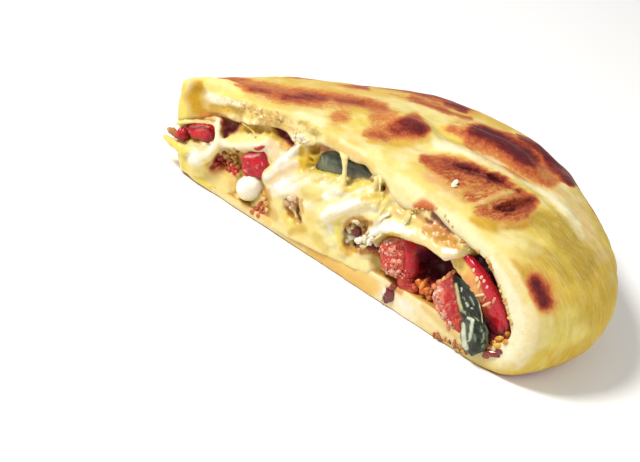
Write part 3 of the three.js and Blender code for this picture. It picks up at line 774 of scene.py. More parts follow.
def crust_piece():
    g = (axis(-77.0, (78.5, 0.62)), axis(-2.0, (10.0, 0.45), (24.0, 0.8), (110.5, 1.15)), axis(-0.9, (44.5, 0.6)))
    X, Y, Z = g
    x, y, z = X[:, None, None], Y[None, :, None], Z[None, None, :]
    x2, y2 = X[:, None], Y[None, :]
    flat = relief(x2, y2)[:, :, None]
    wide = grid_noise(g, (24, 24, 24), 3, 2)
    mid = grid_noise(g, (7, 7, 7), 4, 2)
    fine = grid_noise(g, (2.2, 2.2, 2.2), 5, 2)
    f = body(x, y, z, flat)
    up = smooth(1.0, 9.0, z)                               # the base stays flat
    f = f - (0.55 * wide + 0.30 * mid + 0.09 * fine) * up
    # flaky dry patch
    patch = smooth(-0.1, 0.5, 1 - np.sqrt(((x2 - 30) / 19) ** 2 + ((y2 - 19) / 15) ** 2))[:, :, None]
    flakes = np.abs(grid_noise(g, (2.2, 5.0, 2.2), 8, 2))
    f = f - patch * (flakes - 0.35) * 0.62
    # fine stretched folds on the closed end
    folds = grid_noise(g, (24.0, 3.4, 18.0), 9, 1) * smooth(40, 60, x) * smooth(4, 20, y) * smooth(6, 20, z)
    f = (f - 0.20 * folds).astype(np.float32)
    for k, *stops in RAISED:
        on_skin(f, g, k, stops)
    for k, *stops in SUNK:
        on_skin(f, g, k, stops, cut=True)
    # the cut, rounder where the top crust was pulled
    pull = smooth(-22, -6, x) * smooth(20, 30, z) * (1 - smooth(50, 62, x))
    crumb = grid_noise(g, (2.4, 2.4, 2.4), 12, 2)
    tears = tearing(x, z)
    plain = smooth(-58, -66, x)
    thin = (1 - smooth(5, 9, z)) * (1 - smooth(-20, 24, x))
    cut = -y + 0.08 * crumb + 0.28 * mid + tears * (1.0 * crumb + 1.0 * mid + 0.4)
    lean = 1.8 * smooth(20, 40, z) * smooth(-14, 10, x) * (1 - smooth(52, 64, x))
    fold = smooth(54, 62, x)
    f = smax(f, cut + lean * smooth(33, 41, z), 1.4 + 3.8 * pull + 3.4 * fold * (1 - pull) + 1.6 * plain + 0.8 * thin)
    hollow = pocket(x, y, z) - 0.35 * wide - 0.5 * mid * (1 - smooth(8, 16, y)) - 0.12 * fine
    gap = outline(X[:, None], Z[None, :], SEAM_GAP)[:, None, :]
    gap = smax(gap + 0.12 * y + 0.34 * np.maximum(y - 3, 0), np.abs(y - 2) - 13, 3.0)
    opening = smax(smin(hollow, gap - 0.25 * mid, 1.5), mouth(g) + 0.35 * crumb * (1 - smooth(-20, -4, x)), 0.8)
    f = smin(f, rods(x, y, z, (187, 88, 2.2, 2.0), (195, 85.2, 3.0, 2.2), (209, 84.2, 4.2, 2.2), (226, 86, 6.0, 2.0), (246, 92, 9.0, 1.6)), 4.5)
    f = smax(f, cut, 1.6)
    f = smax(f, -opening, 0.9 + 0.7 * pull + 0.4 * plain)
    # the corner at the seam is torn off; inside the lip runs a soft hollow
    f = smax(f, -(x + 64.2 + 0.36 * z + 1.2 * np.maximum(y, 0) - 1.5 * smooth(31, 25, z) * smooth(19, 23, z) + 0.5 * smooth(28, 34, z)) + 0.45 * mid, 5.0)
    f = smax(f, -rods(x, y, z, (198, 88, -2.2, 2.8), (194, 97, -1.6, 3.8), (197, 108, -1.4, 3.6), (206, 114, -1.4, 2.4), (220, 116, -1.2, 1.6)), 2.0)
    f = np.maximum(f, -z)
    v, q = surface(f.astype(np.float32), g)
    v, q = keep_large(v, q, 400)
    v = relax(v, q, 1, 0.3)
    v[:, 2] = np.maximum(v[:, 2], 0.0)
    n = normals(v, q)
    X_, Y_, Z_ = v.T
    U, V, facing = seen(v, n)
    e = 0.5
    whole = np.stack([body(*(v + e * k).T) - body(*(v - e * k).T) for k in np.eye(3)], 1)
    whole /= np.linalg.norm(whole, axis=1, keepdims=True)
    front = smooth(-0.38, 0.0, whole @ BACK + 0.10 * noise(v, 5.0, 15, 2))
    is_cut = smooth(0.35, 0.85, -n[:, 1]) * (1 - smooth(1.8, 3.6, Y_))
    inner = smooth(0.4, -0.8, pocket(X_, Y_, Z_) - 0.6)
    top = smooth(26, 36, Z_) * (1 - smooth(56, 66, X_))
    # browning, with painted shade under one blister
    w1, w2 = noise(v, 5.0, 1, 3), noise(v, 5.0, 3, 3)
    U_, V_ = U + 2.2 * w1 + 1.0 * noise(v, 1.6, 2, 2) + 1.3 * noise(v, 12.0, 16, 1), V + 1.4 * w2 + 0.7 * noise(v, 1.6, 4, 2) + 1.3 * noise(v, 10.0, 17, 1)
    clear = np.ones(len(v))
    for level, soft, *stops in BROWNED_AND_SHADED:
        clear *= 1 - level * smooth(-soft * 0.85, soft * 0.95, stroke(U_, V_, stops)) * front
    wob = 0.34 * w1 + 0.14 * noise(v, 1.8, 2, 2) + 0.12 * w2
    for s in BROWNED_BEHIND.values():
        m = spot(v, s)
        clear *= 1 - 0.85 * s[3] * smooth(-0.25, 0.8, m + wob)
        clear *= 1 - 0.45 * s[3] * smooth(-1.0, 0.4, m + wob)
    brown_and_shade = clamp01(1 - clear) * (1 - 0.8 * is_cut) * (1 - 0.16 * smooth(0.05, 0.7, noise(v, 4.2, 18, 2)))
    under = 1 - smooth(0.5, 4.0, Z_)
    scorch = clamp01(0.45 + 0.5 * noise(v, 12.0, 6, 3) + 0.25 * noise(v, 3.0, 7, 2))
    brown_and_shade = np.maximum(brown_and_shade, under * (0.2 + 0.6 * scorch) * (1 - is_cut))
    # dough colours
    t = clamp01(0.5 + 0.36 * noise(v, 15.0, 20, 3) + 0.14 * noise(v, 4.0, 21, 2))
    col = LEMON[None] * (1 - t[:, None]) + lin(222, 188, 72)[None] * t[:, None]
    col = blend(col, 0.6 * smooth(0.1, 0.7, noise(v, 9.0, 24, 3)), STRAW)
    fold_end = smooth(38, 62, X_ + 0.25 * Y_) * smooth(2.0, 8.0, Y_)
    col = blend(col, smooth(48, 68, X_) * 0.7 * (1 - smooth(40, 90, Y_)), GOLD)
    col = blend(col, 0.5 * smooth(0.0, 0.8, noise(v, 6.0, 25, 3)) * smooth(40, 60, X_), OLIVE)
    col = blend(col, 0.45 * smooth(14, 2, Y_) * top, STRAW)
    col = blend(col, 0.7 * (1 - smooth(2.0, 12.0, Z_)) * (1 - is_cut), HONEY)
    for colour, level, soft, *stops in DOUGH:
        col = blend(col, level * smooth(-soft * 0.7, soft * 0.7, stroke(U_, V_, stops)) * smooth(-0.2, 0.1, facing) * (1 - is_cut), colour)
    m1, m2 = noise(v, 3.6, 27, 2), noise(v, 5.5, 28, 2)
    calm = 1 - 0.7 * smooth(34, 56, X_)
    col = blend(col, 0.30 * smooth(0.12, 0.7, m1) * calm, IVORY)
    col = blend(col, 0.30 * smooth(0.15, 0.8, -m1), lin(206, 172, 62))
    col = blend(col, 0.26 * smooth(0.2, 0.8, m2), lin(222, 206, 92))
    # the crumb of the cut
    c = clamp01(0.5 + 0.5 * noise(v, 3.0, 23, 3))[:, None]
    crumb_col = lin(250, 238, 190) * (1 - 0.5 * c) + lin(238, 208, 128) * 0.5 * c
    for colour, level, soft, *stops in CUT:
        crumb_col = blend(crumb_col, level * smooth(-soft * 0.7, soft * 0.7, stroke(U + 1.5 * w1, V + 1.2 * w2, stops)) * smooth(-0.2, 0.1, facing), colour)
    crumb_col = blend(crumb_col, tearing(X_, Z_) * 0.5 * smooth(0.1, 0.8, noise(v, 1.6, 26, 2)), lin(196, 142, 66))
    col = col * (1 - is_cut[:, None]) + crumb_col * is_cut[:, None]
    col = blend(col, inner * (1 - is_cut), lin(200, 146, 66))
    pores = is_cut * (0.12 + 0.5 * tearing(X_, Z_))
    flaky = smooth(-0.1, 0.4, 1 - np.sqrt(((X_ - 30) / 19) ** 2 + ((Y_ - 19) / 15) ** 2)) * (Z_ > 30)
    SHOWN["crust"] = (v, q)
    return mesh("crust_skin", v, q, {"brown_and_shade": brown_and_shade, "cut": is_cut, "pores": pores, "flaky": flaky, "drawn": fold_end}, col, crust_material())


def tearing(x, z):
    return smooth(-60, -54, x) * (1 - smooth(-24, -10, x)) * smooth(18, 26, z)


def crust_material():
    n = Nodes("crust_look")
    brown_and_shade, cut, flaky = n.value("brown_and_shade"), n.value("cut"), n.value("flaky")
    grain = n.noise(1.5, 3.0, 0.6)
    speck = n.noise(0.55, 2.0, 0.6)
    band = n.span(brown_and_shade, 0.02, 0.4)
    level = n.math("MULTIPLY_ADD", n.math("SUBTRACT", grain, 0.5), n.math("MULTIPLY", band, 0.42), brown_and_shade)
    level = n.math("MULTIPLY_ADD", n.math("SUBTRACT", speck, 0.5), n.math("MULTIPLY", band, 0.26), level)
    strip = n.noise(2.0, 4.0, 0.65, ((1.5, 0.42, 1.5), (0, 0, 0.0)), 0.9)
    pimple = n.math("MULTIPLY", n.span(n.cells(1.3, distort=True), 0.05, 0.42, 1.0, 0.0), n.span(n.noise(3.2, 2.0), 0.34, 0.62, 0.1, 1.0))
    level = n.math("MULTIPLY_ADD", n.math("SUBTRACT", pimple, 0.25), n.math("MULTIPLY", band, -0.19), level)
    level = n.math("MULTIPLY_ADD", n.math("SUBTRACT", strip, 0.5), n.math("MULTIPLY", n.math("MULTIPLY", flaky, band), 1.3), level)
    drawn = n.value("drawn")
    line = n.noise(1.0, 3.0, 0.6, ((0.14, 1.2, 0.14), (0.0, 0.0, 0.0)), 0.3)
    fleck = n.noise(2.4, 3.0, 0.7)
    toast = n.ramp(level, [
        (0.0, tuple(lin(228, 184, 82) * EXPOSE)), (0.22, tuple(lin(216, 158, 76) * EXPOSE)), (0.42, tuple(lin(206, 130, 72) * EXPOSE)),
        (0.62, tuple(lin(180, 88, 50) * EXPOSE)), (0.82, tuple(lin(138, 52, 40) * EXPOSE)), (1.0, tuple(lin(92, 34, 38) * EXPOSE))])
    shade = n.mix(n.span(grain, 0.3, 0.7, 0.0, 0.14), n.tint(), tuple(lin(210, 166, 60) * EXPOSE))
    shade = n.mix(n.span(speck, 0.40, 0.75, 0.0, 0.08), shade, tuple(lin(255, 244, 190) * EXPOSE))
    shade = n.mix(n.math("MULTIPLY", n.span(line, 0.48, 0.72), n.math("MULTIPLY", drawn, 0.22)), shade, tuple(lin(250, 236, 178) * EXPOSE))
    shade = n.mix(n.math("MULTIPLY", n.span(line, 0.50, 0.28), n.math("MULTIPLY", drawn, 0.22)), shade, tuple(lin(178, 132, 44) * EXPOSE))
    shade = n.mix(n.math("MULTIPLY", n.span(fleck, 0.56, 0.70), n.math("SUBTRACT", 0.16, n.math("MULTIPLY", cut, 0.16))), shade, tuple(lin(250, 236, 170) * EXPOSE))
    colour = n.mix(n.span(level, 0.03, 0.42), shade, toast)
    # painted shade: the pits of the crumb are coloured darker golden where the pores attribute is high
    pit = n.cells(1.3, distort=True)
    holes = n.math("MULTIPLY", n.span(pit, 0.10, 0.34, 1.0, 0.0), n.value("pores"))
    colour = n.mix(n.math("MULTIPLY", holes, 0.3), colour, tuple(lin(196, 144, 66) * EXPOSE))
    dot = n.math("MULTIPLY", n.span(n.cells(15.0), 0.016, 0.026, 1.0, 0.0), n.math("SUBTRACT", 1.0, cut))
    colour = n.mix(dot, colour, tuple(lin(60, 40, 30)))
    rough = n.span(level, 0.3, 0.9, 0.58, 0.36)
    rough = n.math("MULTIPLY_ADD", grain, 0.14, rough)
    h = n.math("MULTIPLY_ADD", speck, 0.35, n.math("MULTIPLY", grain, 0.8))
    h = n.math("MULTIPLY_ADD", n.math("MULTIPLY", strip, flaky), 2.6, h)
    h = n.math("MULTIPLY_ADD", n.math("MULTIPLY", line, drawn), 0.8, h)
    h = n.math("MULTIPLY_ADD", pimple, n.math("MULTIPLY_ADD", band, 0.6, n.math("SUBTRACT", 0.3, n.math("MULTIPLY", cut, 0.3))), h)
    h = n.math("SUBTRACT", h, n.math("MULTIPLY", holes, 2.0))
    n.set(Base_Color=colour, Roughness=rough, Normal=n.bump(h, 0.18), Subsurface_Weight=0.10,
          Subsurface_Radius=(1.0, 0.6, 0.25), Subsurface_Scale=0.0014, Specular_IOR_Level=0.10)
    return n.material


SHOWN = {}
crust = crust_piece()
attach(crust, "root")
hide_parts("crust")


# ------------------------------------------------------------------ helpers for the filling
def stamp(f, g, build, k, pad, *stops, cut=False):
    """Joins (or cuts) a chain of rods into a field, working only on the part of the grid near it."""
    pts = np.array([at(*s[:3]) for s in stops])
    r = max(s[3] for s in stops) + pad
    sl = tuple(slice(max(0, int(np.searchsorted(c, pts[:, i].min() - r)) - 1), int(np.searchsorted(c, pts[:, i].max() + r)) + 1) for i, c in enumerate(g))
    x, y, z = g[0][sl[0]][:, None, None], g[1][sl[1]][None, :, None], g[2][sl[2]][None, None, :]
    d = build(x, y, z, *stops)
    f[sl] = smax(f[sl], -d, k) if cut else smin(f[sl], d, k)


def depth_map(X, Z, marks):
    """Depth of a front over the grid, blended between marks (u, v, depth, reach)."""
    num = np.zeros((len(X), len(Z)))
    den = np.zeros((len(X), len(Z)))
    for u, v, depth, reach in marks:
        p = at(u, v, depth)
        w = 1.0 / (((X[:, None] - p[0]) ** 2 + (Z[None, :] - p[2]) ** 2) / (reach * reach) + 0.10) ** 2.0
        num += w * depth
        den += w
    return num / den


def painted(v, n, colour, strokes, wobble=1.0, seed=300):
    """Lays strokes (colour, strength, softness, (u, v, radius)...) of the picture on a vertex colour."""
    U, V, facing = seen(v, n)
    U = U + wobble * (1.2 * noise(v, 2.6, seed, 2) + 0.5 * noise(v, 0.9, seed + 1, 1))
    V = V + wobble * (1.0 * noise(v, 2.6, seed + 2, 2) + 0.5 * noise(v, 0.9, seed + 3, 1))
    near = smooth(-0.3, 0.05, facing)
    for other, level, soft, *stops in strokes:
        m = stroke(U, V, stops)
        colour = blend(colour, level * smooth(-soft * 0.7, soft * 0.7, m) * near, other)
    return colour


def food(name, grain=1.2, bump=0.12, rough=0.35, sss=0.15, radius=(1.0, 0.5, 0.25), warm=(0.9, 0.6, 0.3), vary=0.10, coat=0.0, fine=0.5, deep=0.0015, specular=0.5, beads=0.0, bead=(1.0, 0.8, 0.7), size=0.9):
    """A moist food material driven by the vertex colour, with grain at the given size in mm."""
    n = Nodes(name)
    a, b = n.noise(grain, 3.0, 0.55), n.noise(grain * 0.33, 2.0, 0.55)
    wide = n.noise(grain * 4.5, 2.0, 0.5)
    c = n.mix(n.span(a, 0.35, 0.72, 0.0, vary), n.tint(), warm)
    c = n.mix(n.span(wide, 0.35, 0.7, 0.0, vary * 0.8), c, tuple(x * 0.75 for x in warm))
    c = n.mix(n.span(b, 0.5, 0.8, 0.0, vary * 0.6), c, (1.0, 0.95, 0.8))
    r = n.math("MULTIPLY_ADD", a, 0.22, rough - 0.11)
    h = n.math("MULTIPLY_ADD", b, fine, a)
    if beads:
        cell = n.cells(size, distort=True)
        lump = n.math("MULTIPLY", n.span(cell, 0.15, 0.62, 1.0, 0.0), n.span(n.noise(size * 3.0), 0.40, 0.60))
        c = n.mix(n.math("MULTIPLY", lump, beads), c, bead)
        h = n.math("MULTIPLY_ADD", lump, 1.6, h)
    n.set(Base_Color=c, Roughness=r, Normal=n.bump(h, bump), Subsurface_Weight=sss, Subsurface_Radius=radius,
          Subsurface_Scale=deep, Specular_IOR_Level=specular, Coat_Weight=coat, Coat_Roughness=0.12)
    return n.material


def dab(v, colour, stops, other, strength=1.0, soft=0.5):
    """Paints a stroke along stops (u, v, depth, radius) on a vertex colour."""
    pts = [(at(*s[:3]), s[3]) for s in stops]
    if len(pts) == 1:
        d = np.linalg.norm(v - pts[0][0], axis=1) / pts[0][1]
    else:
        d = np.full(len(v), 9.0)
        for (a, ra), (b, rb) in zip(pts[:-1], pts[1:]):
            k = b - a
            t = clamp01((v - a) @ k / (k @ k))
            q = np.linalg.norm(v - a - t[:, None] * k, axis=1)
            d = np.minimum(d, q / (ra + (rb - ra) * t))
    return blend(colour, strength * (1 - smooth(1 - soft, 1 + soft, d)), other)




def place(o, slot, *nodes):
    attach(o, "root")
    if nodes:
        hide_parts(*nodes)
    return o


WHITE, MILK, CREAM, PALE = lin(252, 251, 244), lin(252, 242, 212), lin(246, 230, 178), lin(244, 222, 140)
YELLOW, AMBER, TAN = lin(222, 184, 54), lin(206, 146, 50), lin(232, 190, 120)
BROWN, MAROON, PURPLE = lin(166, 86, 40), lin(120, 30, 44), lin(146, 26, 70)
RED, DEEP, ORANGE = lin(196, 20, 34), lin(138, 16, 34), lin(216, 104, 36)
SALMON, ROSE = lin(224, 112, 90), lin(238, 176, 150)

# ------------------------------------------------------------------ cheese
CHEESE_FRONT = [
    # left end, round the first tomato
    (165, 139, 1.6, 2.0), (172, 146, 1.2, 2.0), (180, 150, 0.8, 2.0), (184, 160, 0.6, 2.0), (188, 168, 0.6, 2.0), (196, 177, 0.6, 2.0), (206, 184, 0.6, 2.0),
    (190, 151, -0.4, 2.0), (200, 152, -0.6, 2.0), (188, 144, 1.6, 1.4), (200, 145.5, 1.6, 1.4), (210, 146, 1.4, 1.2), (196, 160, -1.6, 2.6), (190, 163, -0.9, 2.2), (204, 155, -1.2, 2.4), (197, 170, -0.4, 2.4), (204, 168, 0.0, 2.0),
    (180, 132, 4.0, 2.0), (190, 131, 4.6, 2.2), (202, 131, 4.6, 2.2), (211, 129, 4.0, 1.6), (182, 121, 1.8, 1.2), (195, 120, 1.4, 1.2), (207, 119.5, 1.4, 1.2), (214, 120, 1.6, 1.2),
    (226, 122, 5.0, 1.8), (232, 127, 6.0, 2.0), (228, 133, 4.4, 1.4), (238, 122, 6.0, 1.6),
    (240, 129, 3.4, 1.8), (250, 129, 3.4, 1.8), (262, 129, 3.6, 1.8), (270, 131, 3.6, 1.6), (236, 137, 1.6, 2.0), (250, 137, 1.2, 2.0), (262, 138, 1.2, 2.0),
    (226, 142, 0.8, 1.8), (240, 144, -0.2, 2.0), (254, 144, -0.4, 2.0), (264, 142, 0.2, 2.0), (232, 150.5, 1.2, 1.2), (246, 150.5, 1.0, 1.2), (258, 149, 1.0, 1.2),
    (270, 138, 1.4, 2.0), (278, 146, 1.4, 2.0), (286, 150, 1.8, 1.8), (276, 156, 0.8, 2.0), (270, 164, 1.4, 1.8), (284, 142, 3.2, 1.6), (292, 148, 3.2, 1.6),
    (279, 127, 5.0, 1.4), (285, 131, 6.0, 1.8), (290, 138, 6.0, 1.6), (296, 142, 6.0, 1.4),
    (214, 166, 2.8, 1.4), (220, 159, 4.6, 1.6), (226, 163, 4.6, 1.6), (218, 153, 3.2, 1.2), (232, 160, 4.0, 1.6), (234, 170, 3.4, 1.4),
    (240, 160, 4.5, 2.0), (254, 165, 5.4, 2.6), (264, 160, 4.0, 1.6),
    (210, 174, 1.2, 2.0), (220, 173, 1.6, 2.0), (230, 175, 1.8, 1.8), (214, 182, 0.9, 2.0), (226, 184, 0.9, 2.2), (222, 192, 0.6, 2.0), (236, 199, 0.7, 2.0), (233, 190, 1.2, 1.6),
    (247, 191, 4.5, 2.8), (263, 188, 2.8, 1.4), (266, 198, 2.0, 1.6), (258, 211, 1.4, 1.6), (268, 213, 0.9, 1.6), (254, 214, 0.8, 1.4), (266, 222, 0.5, 1.8), (248, 212, 0.8, 1.4),
    # the sheet over the middle and the mass below it
    (298, 146, 0.6, 1.4), (290, 153, -0.3, 1.6), (280, 162, -0.9, 1.6), (271, 170, -1.1, 1.6), (266, 177, -1.0, 1.6),
    (283, 170, -1.0, 2.4), (294, 166, -0.5, 2.2), (290, 178, -1.4, 2.6), (276, 184, -1.5, 2.4), (272, 195, -1.1, 2.2),
    (303, 152, 1.6, 1.8), (305, 162, 1.0, 1.8), (311, 158, 2.0, 1.8), (310, 168, 1.0, 1.8), (318, 150, 5.0, 1.4), (316, 158, 5.0, 1.2), (318, 164.5, 5.4, 1.2), (316, 172.5, 1.4, 1.4), (320, 173.7, 1.3, 1.4), (324, 174.5, 1.2, 1.4), (327.5, 175.3, 1.2, 1.4),
    (300, 176, -1.0, 2.4), (315, 178, -1.1, 2.4), (330, 180, -0.9, 2.2), (284, 189, -1.9, 2.8), (300, 189, -1.9, 2.8), (318, 191, -1.6, 2.6), (332, 190, -1.8, 2.4), (341, 186, -1.2, 2.0),
    (331, 176, 1.2, 1.4), (334.5, 176.4, 1.0, 1.4), (338, 176.8, 0.8, 1.4), (341, 177, 0.6, 1.4), (346.5, 179.4, 1.1, 1.4), (352, 182, 1.6, 1.4), (357, 180, 1.9, 1.3), (362, 178, 2.2, 1.4), (371, 180, 2.4, 1.4), (330, 160, 5.6, 2.2), (345, 165, 5.6, 2.2), (360, 167, 5.6, 2.0), (320, 165.6, 5.5, 1.5), (323, 166.5, 5.6, 1.5), (326, 167.3, 5.6, 1.5), (329, 168, 5.6, 1.5), (332.5, 168.3, 5.6, 1.5), (336, 168.8, 5.6, 1.5), (339, 169.2, 5.6, 1.5), (342, 169.8, 5.6, 1.5), (346, 170.6, 5.6, 1.5), (350, 171.5, 5.6, 1.5), (353.5, 172.4, 5.4, 1.4), (357, 173, 5.2, 1.4), (360, 172.6, 5.0, 1.4), (363, 172.2, 4.8, 1.4), (367, 173.4, 4.7, 1.3), (371, 174.5, 4.6, 1.3),
    (350, 190, -0.5, 2.0), (362, 187, 0.0, 2.0), (374, 188, 0.5, 1.8), (384, 195, 1.8, 1.6), (356, 197, -1.2, 2.2), (370, 199, -0.8, 2.2), (384, 205, -0.2, 2.0), (386.5, 187, 5.0, 1.3),
    (276, 206, -0.9, 2.2), (280, 218, -0.6, 2.2), (288, 230, -0.4, 2.2), (276, 226, -0.2, 2.0),
    (289, 207, 1.2, 1.0), (293, 214, 1.6, 1.0), (299, 207, 1.4, 0.9), (301, 219, 1.2, 0.9), (290, 200, 0.4, 1.2),
    (310, 200, -1.3, 2.0), (311, 212, -1.1, 2.0), (309, 226, -0.8, 2.2), (300, 238, -0.4, 2.2), (322, 203, -1.5, 2.0),
    (328, 216, -2.0, 2.4), (340, 210, -2.6, 2.6), (352, 205, -2.3, 2.4), (366, 204, -1.6, 2.2), (377, 209, -1.1, 2.0),
    (322, 230, -1.1, 2.4), (331, 240, -0.9, 2.2), (318, 245, -0.5, 2.2), (332, 253, -0.2, 2.0), (336, 228, -1.1, 1.8),
    (348, 228, 2.0, 1.4), (354, 222, 2.4, 1.4), (362, 224, 2.2, 1.4), (356, 238, 3.6, 1.6), (350, 243, 2.2, 1.4), (369, 226, 1.4, 1.3), (366, 236, 2.6, 1.4),
    (343, 238, 0.2, 1.3), (342, 249, 0.0, 1.6), (354, 254, 0.4, 1.6), (366, 253, 1.0, 1.6), (373, 245, 1.6, 1.4),
    (350, 268, -0.1, 2.2), (366, 268, 0.2, 2.2), (377, 278, 0.6, 2.2), (374, 290, 0.5, 2.2),
    (380, 220, -0.9, 1.8), (388, 213, 0.0, 1.8), (374, 231, -1.3, 1.8), (386, 225, -1.9, 2.0), (398, 227, -2.0, 2.0), (408, 233, -1.9, 2.0), (398, 216, 0.2, 2.0), (411, 222, 0.2, 2.0), (392, 204, 1.4, 1.8), (404, 207, 1.8, 1.8), (416, 211, 1.6, 1.6),
    (392, 256, 5.0, 2.6), (384, 270, 3.5, 2.2), (406, 256, 6.0, 2.2), (378, 262, 3.0, 1.8),
    # the flap over the red filling
    (420, 236, -1.4, 2.0), (432, 243, -1.6, 2.0), (444, 251, -2.0, 2.0), (454, 252, -1.4, 1.6), (426, 229, -0.1, 1.6), (440, 238, -0.1, 1.6), (451, 245, 0.2, 1.4),
    (429, 222, 1.0, 1.6), (441, 230, 1.0, 1.6), (451, 239, 1.0, 1.4), (420, 215, 1.0, 1.4), (436, 218, 2.4, 1.2), (445, 225, 2.6, 1.2), (453, 233, 2.4, 1.2), (459, 243, 1.4, 1.2),
    (430, 262, 16.0, 2.8), (418, 262, 14.0, 2.8), (444, 271, 16.0, 2.8), (462, 270, 16.0, 3.2), (482, 290, 16.0, 5.0), (440, 300, 16.0, 5.0), (410, 285, 12.0, 3.4), (480, 330, 16.0, 6.0),
]
CHEESE_RODS = [   # blend, then (u, v, depth, radius) along each strand or ridge
    (1.2, (221, 119, 3.6, 1.8), (218.8, 124.5, 0.8, 1.0), (217.5, 130, -0.2, 0.8), (218, 140, -0.4, 1.1), (215, 149, -0.7, 1.5), (207, 155, -0.9, 2.2), (198, 160, -0.6, 2.4), (197, 169, 0.3, 2.0)),
    (0.8, (178, 123, 1.0, 0.8), (186, 121.5, -0.2, 0.7), (197, 121, -0.6, 0.6), (208, 122, -0.6, 0.6), (215, 124, -0.2, 0.6), (218, 128, 0.0, 0.6)),
    (0.8, (165, 136.5, 1.6, 0.8), (172, 142, 1.2, 1.3), (180, 147, 1.0, 1.6), (184, 153, 0.8, 1.4), (184, 162, 0.8, 1.0), (190, 171, 0.8, 0.9), (200, 180, 0.8, 0.9), (210, 187, 0.8, 0.7)),
    (1.4, (184, 150, 0.6, 1.2), (193, 150, 0.2, 1.3), (205, 151, -0.1, 1.2)),
    (1.6, (222, 143, 0.5, 1.1), (234, 145.5, 0.5, 1.1), (248, 145.5, 0.2, 1.1), (260, 144, 0.2, 1.1)),
    (0.3, (240.5, 122, 2.0, 0.42), (248, 127, 0.8, 0.34), (253.5, 132, 0.2, 0.34), (254.5, 136, 0.0, 0.34), (251, 141, 0.0, 0.36), (246, 145, -0.2, 0.38)),
    (0.3, (270, 126, 2.0, 0.46), (276, 132, 1.0, 0.38), (281, 138, 1.0, 0.46)),
    (2.2, (300, 145, 0.9, 0.4), (290, 153, 0.2, 0.6), (279, 163, -0.4, 0.8), (267.5, 175, -0.6, 0.9)),
    (2.0, (344, 148, 1.0, 2.0), (344.5, 155, -0.2, 1.2), (345, 164, -0.7, 0.75), (344.5, 175, -1.0, 0.68), (343.5, 183, -1.2, 0.9), (342, 190, -1.2, 1.6)),
    (0.6, (380.5, 175, 1.6, 0.8), (380.2, 182, 0.2, 0.42), (379.4, 196, -0.6, 0.32), (378.6, 202, -0.9, 0.5), (375, 206, -1.1, 1.0)),
    (0.35, (359.5, 243, 0.6, 0.5), (366, 234, -0.6, 0.42), (374, 225, -1.1, 0.5), (384, 216, -0.9, 0.36), (390, 212, -0.6, 0.3)),
    (0.35, (362, 245, 0.8, 0.5), (370, 236, -0.8, 0.55), (379, 227, -1.5, 0.6), (389, 219, -1.2, 0.34)),
    (0.35, (367, 240, -0.2, 0.4), (376, 233, -1.2, 0.5), (386, 227, -1.6, 0.7)),
    (0.3, (368, 229, -0.6, 0.3), (371, 222, -1.0, 0.4), (377, 216, -0.9, 0.28)), (0.3, (361, 250, 0.2, 0.4), (371, 242, -0.9, 0.4), (381, 235, -1.4, 0.5)),
    (0.3, (383, 219, -1.2, 0.34), (388, 215, -1.1, 0.4), (391, 210, -0.6, 0.22)), (0.3, (376, 217, -1.0, 0.3), (381, 212, -0.8, 0.3), (384, 208, -0.4, 0.2)),
    (1.8, (386, 229, -1.2, 1.2), (402, 232, -1.4, 1.3), (417, 239, -1.3, 1.1), (429, 244, -1.2, 1.0), (437, 250, -1.4, 1.2), (446, 256, -1.8, 1.4), (455, 254, -1.6, 1.2), (460, 248, -1.0, 0.9)),
    (2.6, (324, 217, -0.7, 1.8), (340, 211, -1.3, 2.1), (358, 204, -1.1, 1.8), (371, 200, -0.4, 1.3)),
    (1.6, (344, 252, 0.2, 1.0), (339.5, 240, -0.1, 1.0), (341, 228, -0.4, 1.0), (350, 219, -0.6, 1.0), (364, 217, -0.8, 0.9), (376, 218, -0.8, 0.8)),
]
CHEESE_HOLES = [
    (0.9, (298.5, 200, 1.4, 0.5), (298.5, 208, 1.0, 0.5), (301.5, 222, 0.8, 0.45)), (0.8, (290, 206, 1.0, 0.8), (293, 214, 1.2, 0.8)),
    (0.8, (357, 232, 3.4, 0.8), (357, 245, 3.2, 0.9)), (0.6, (426, 219, 2.6, 0.5), (433, 222, 2.8, 0.6)),
]
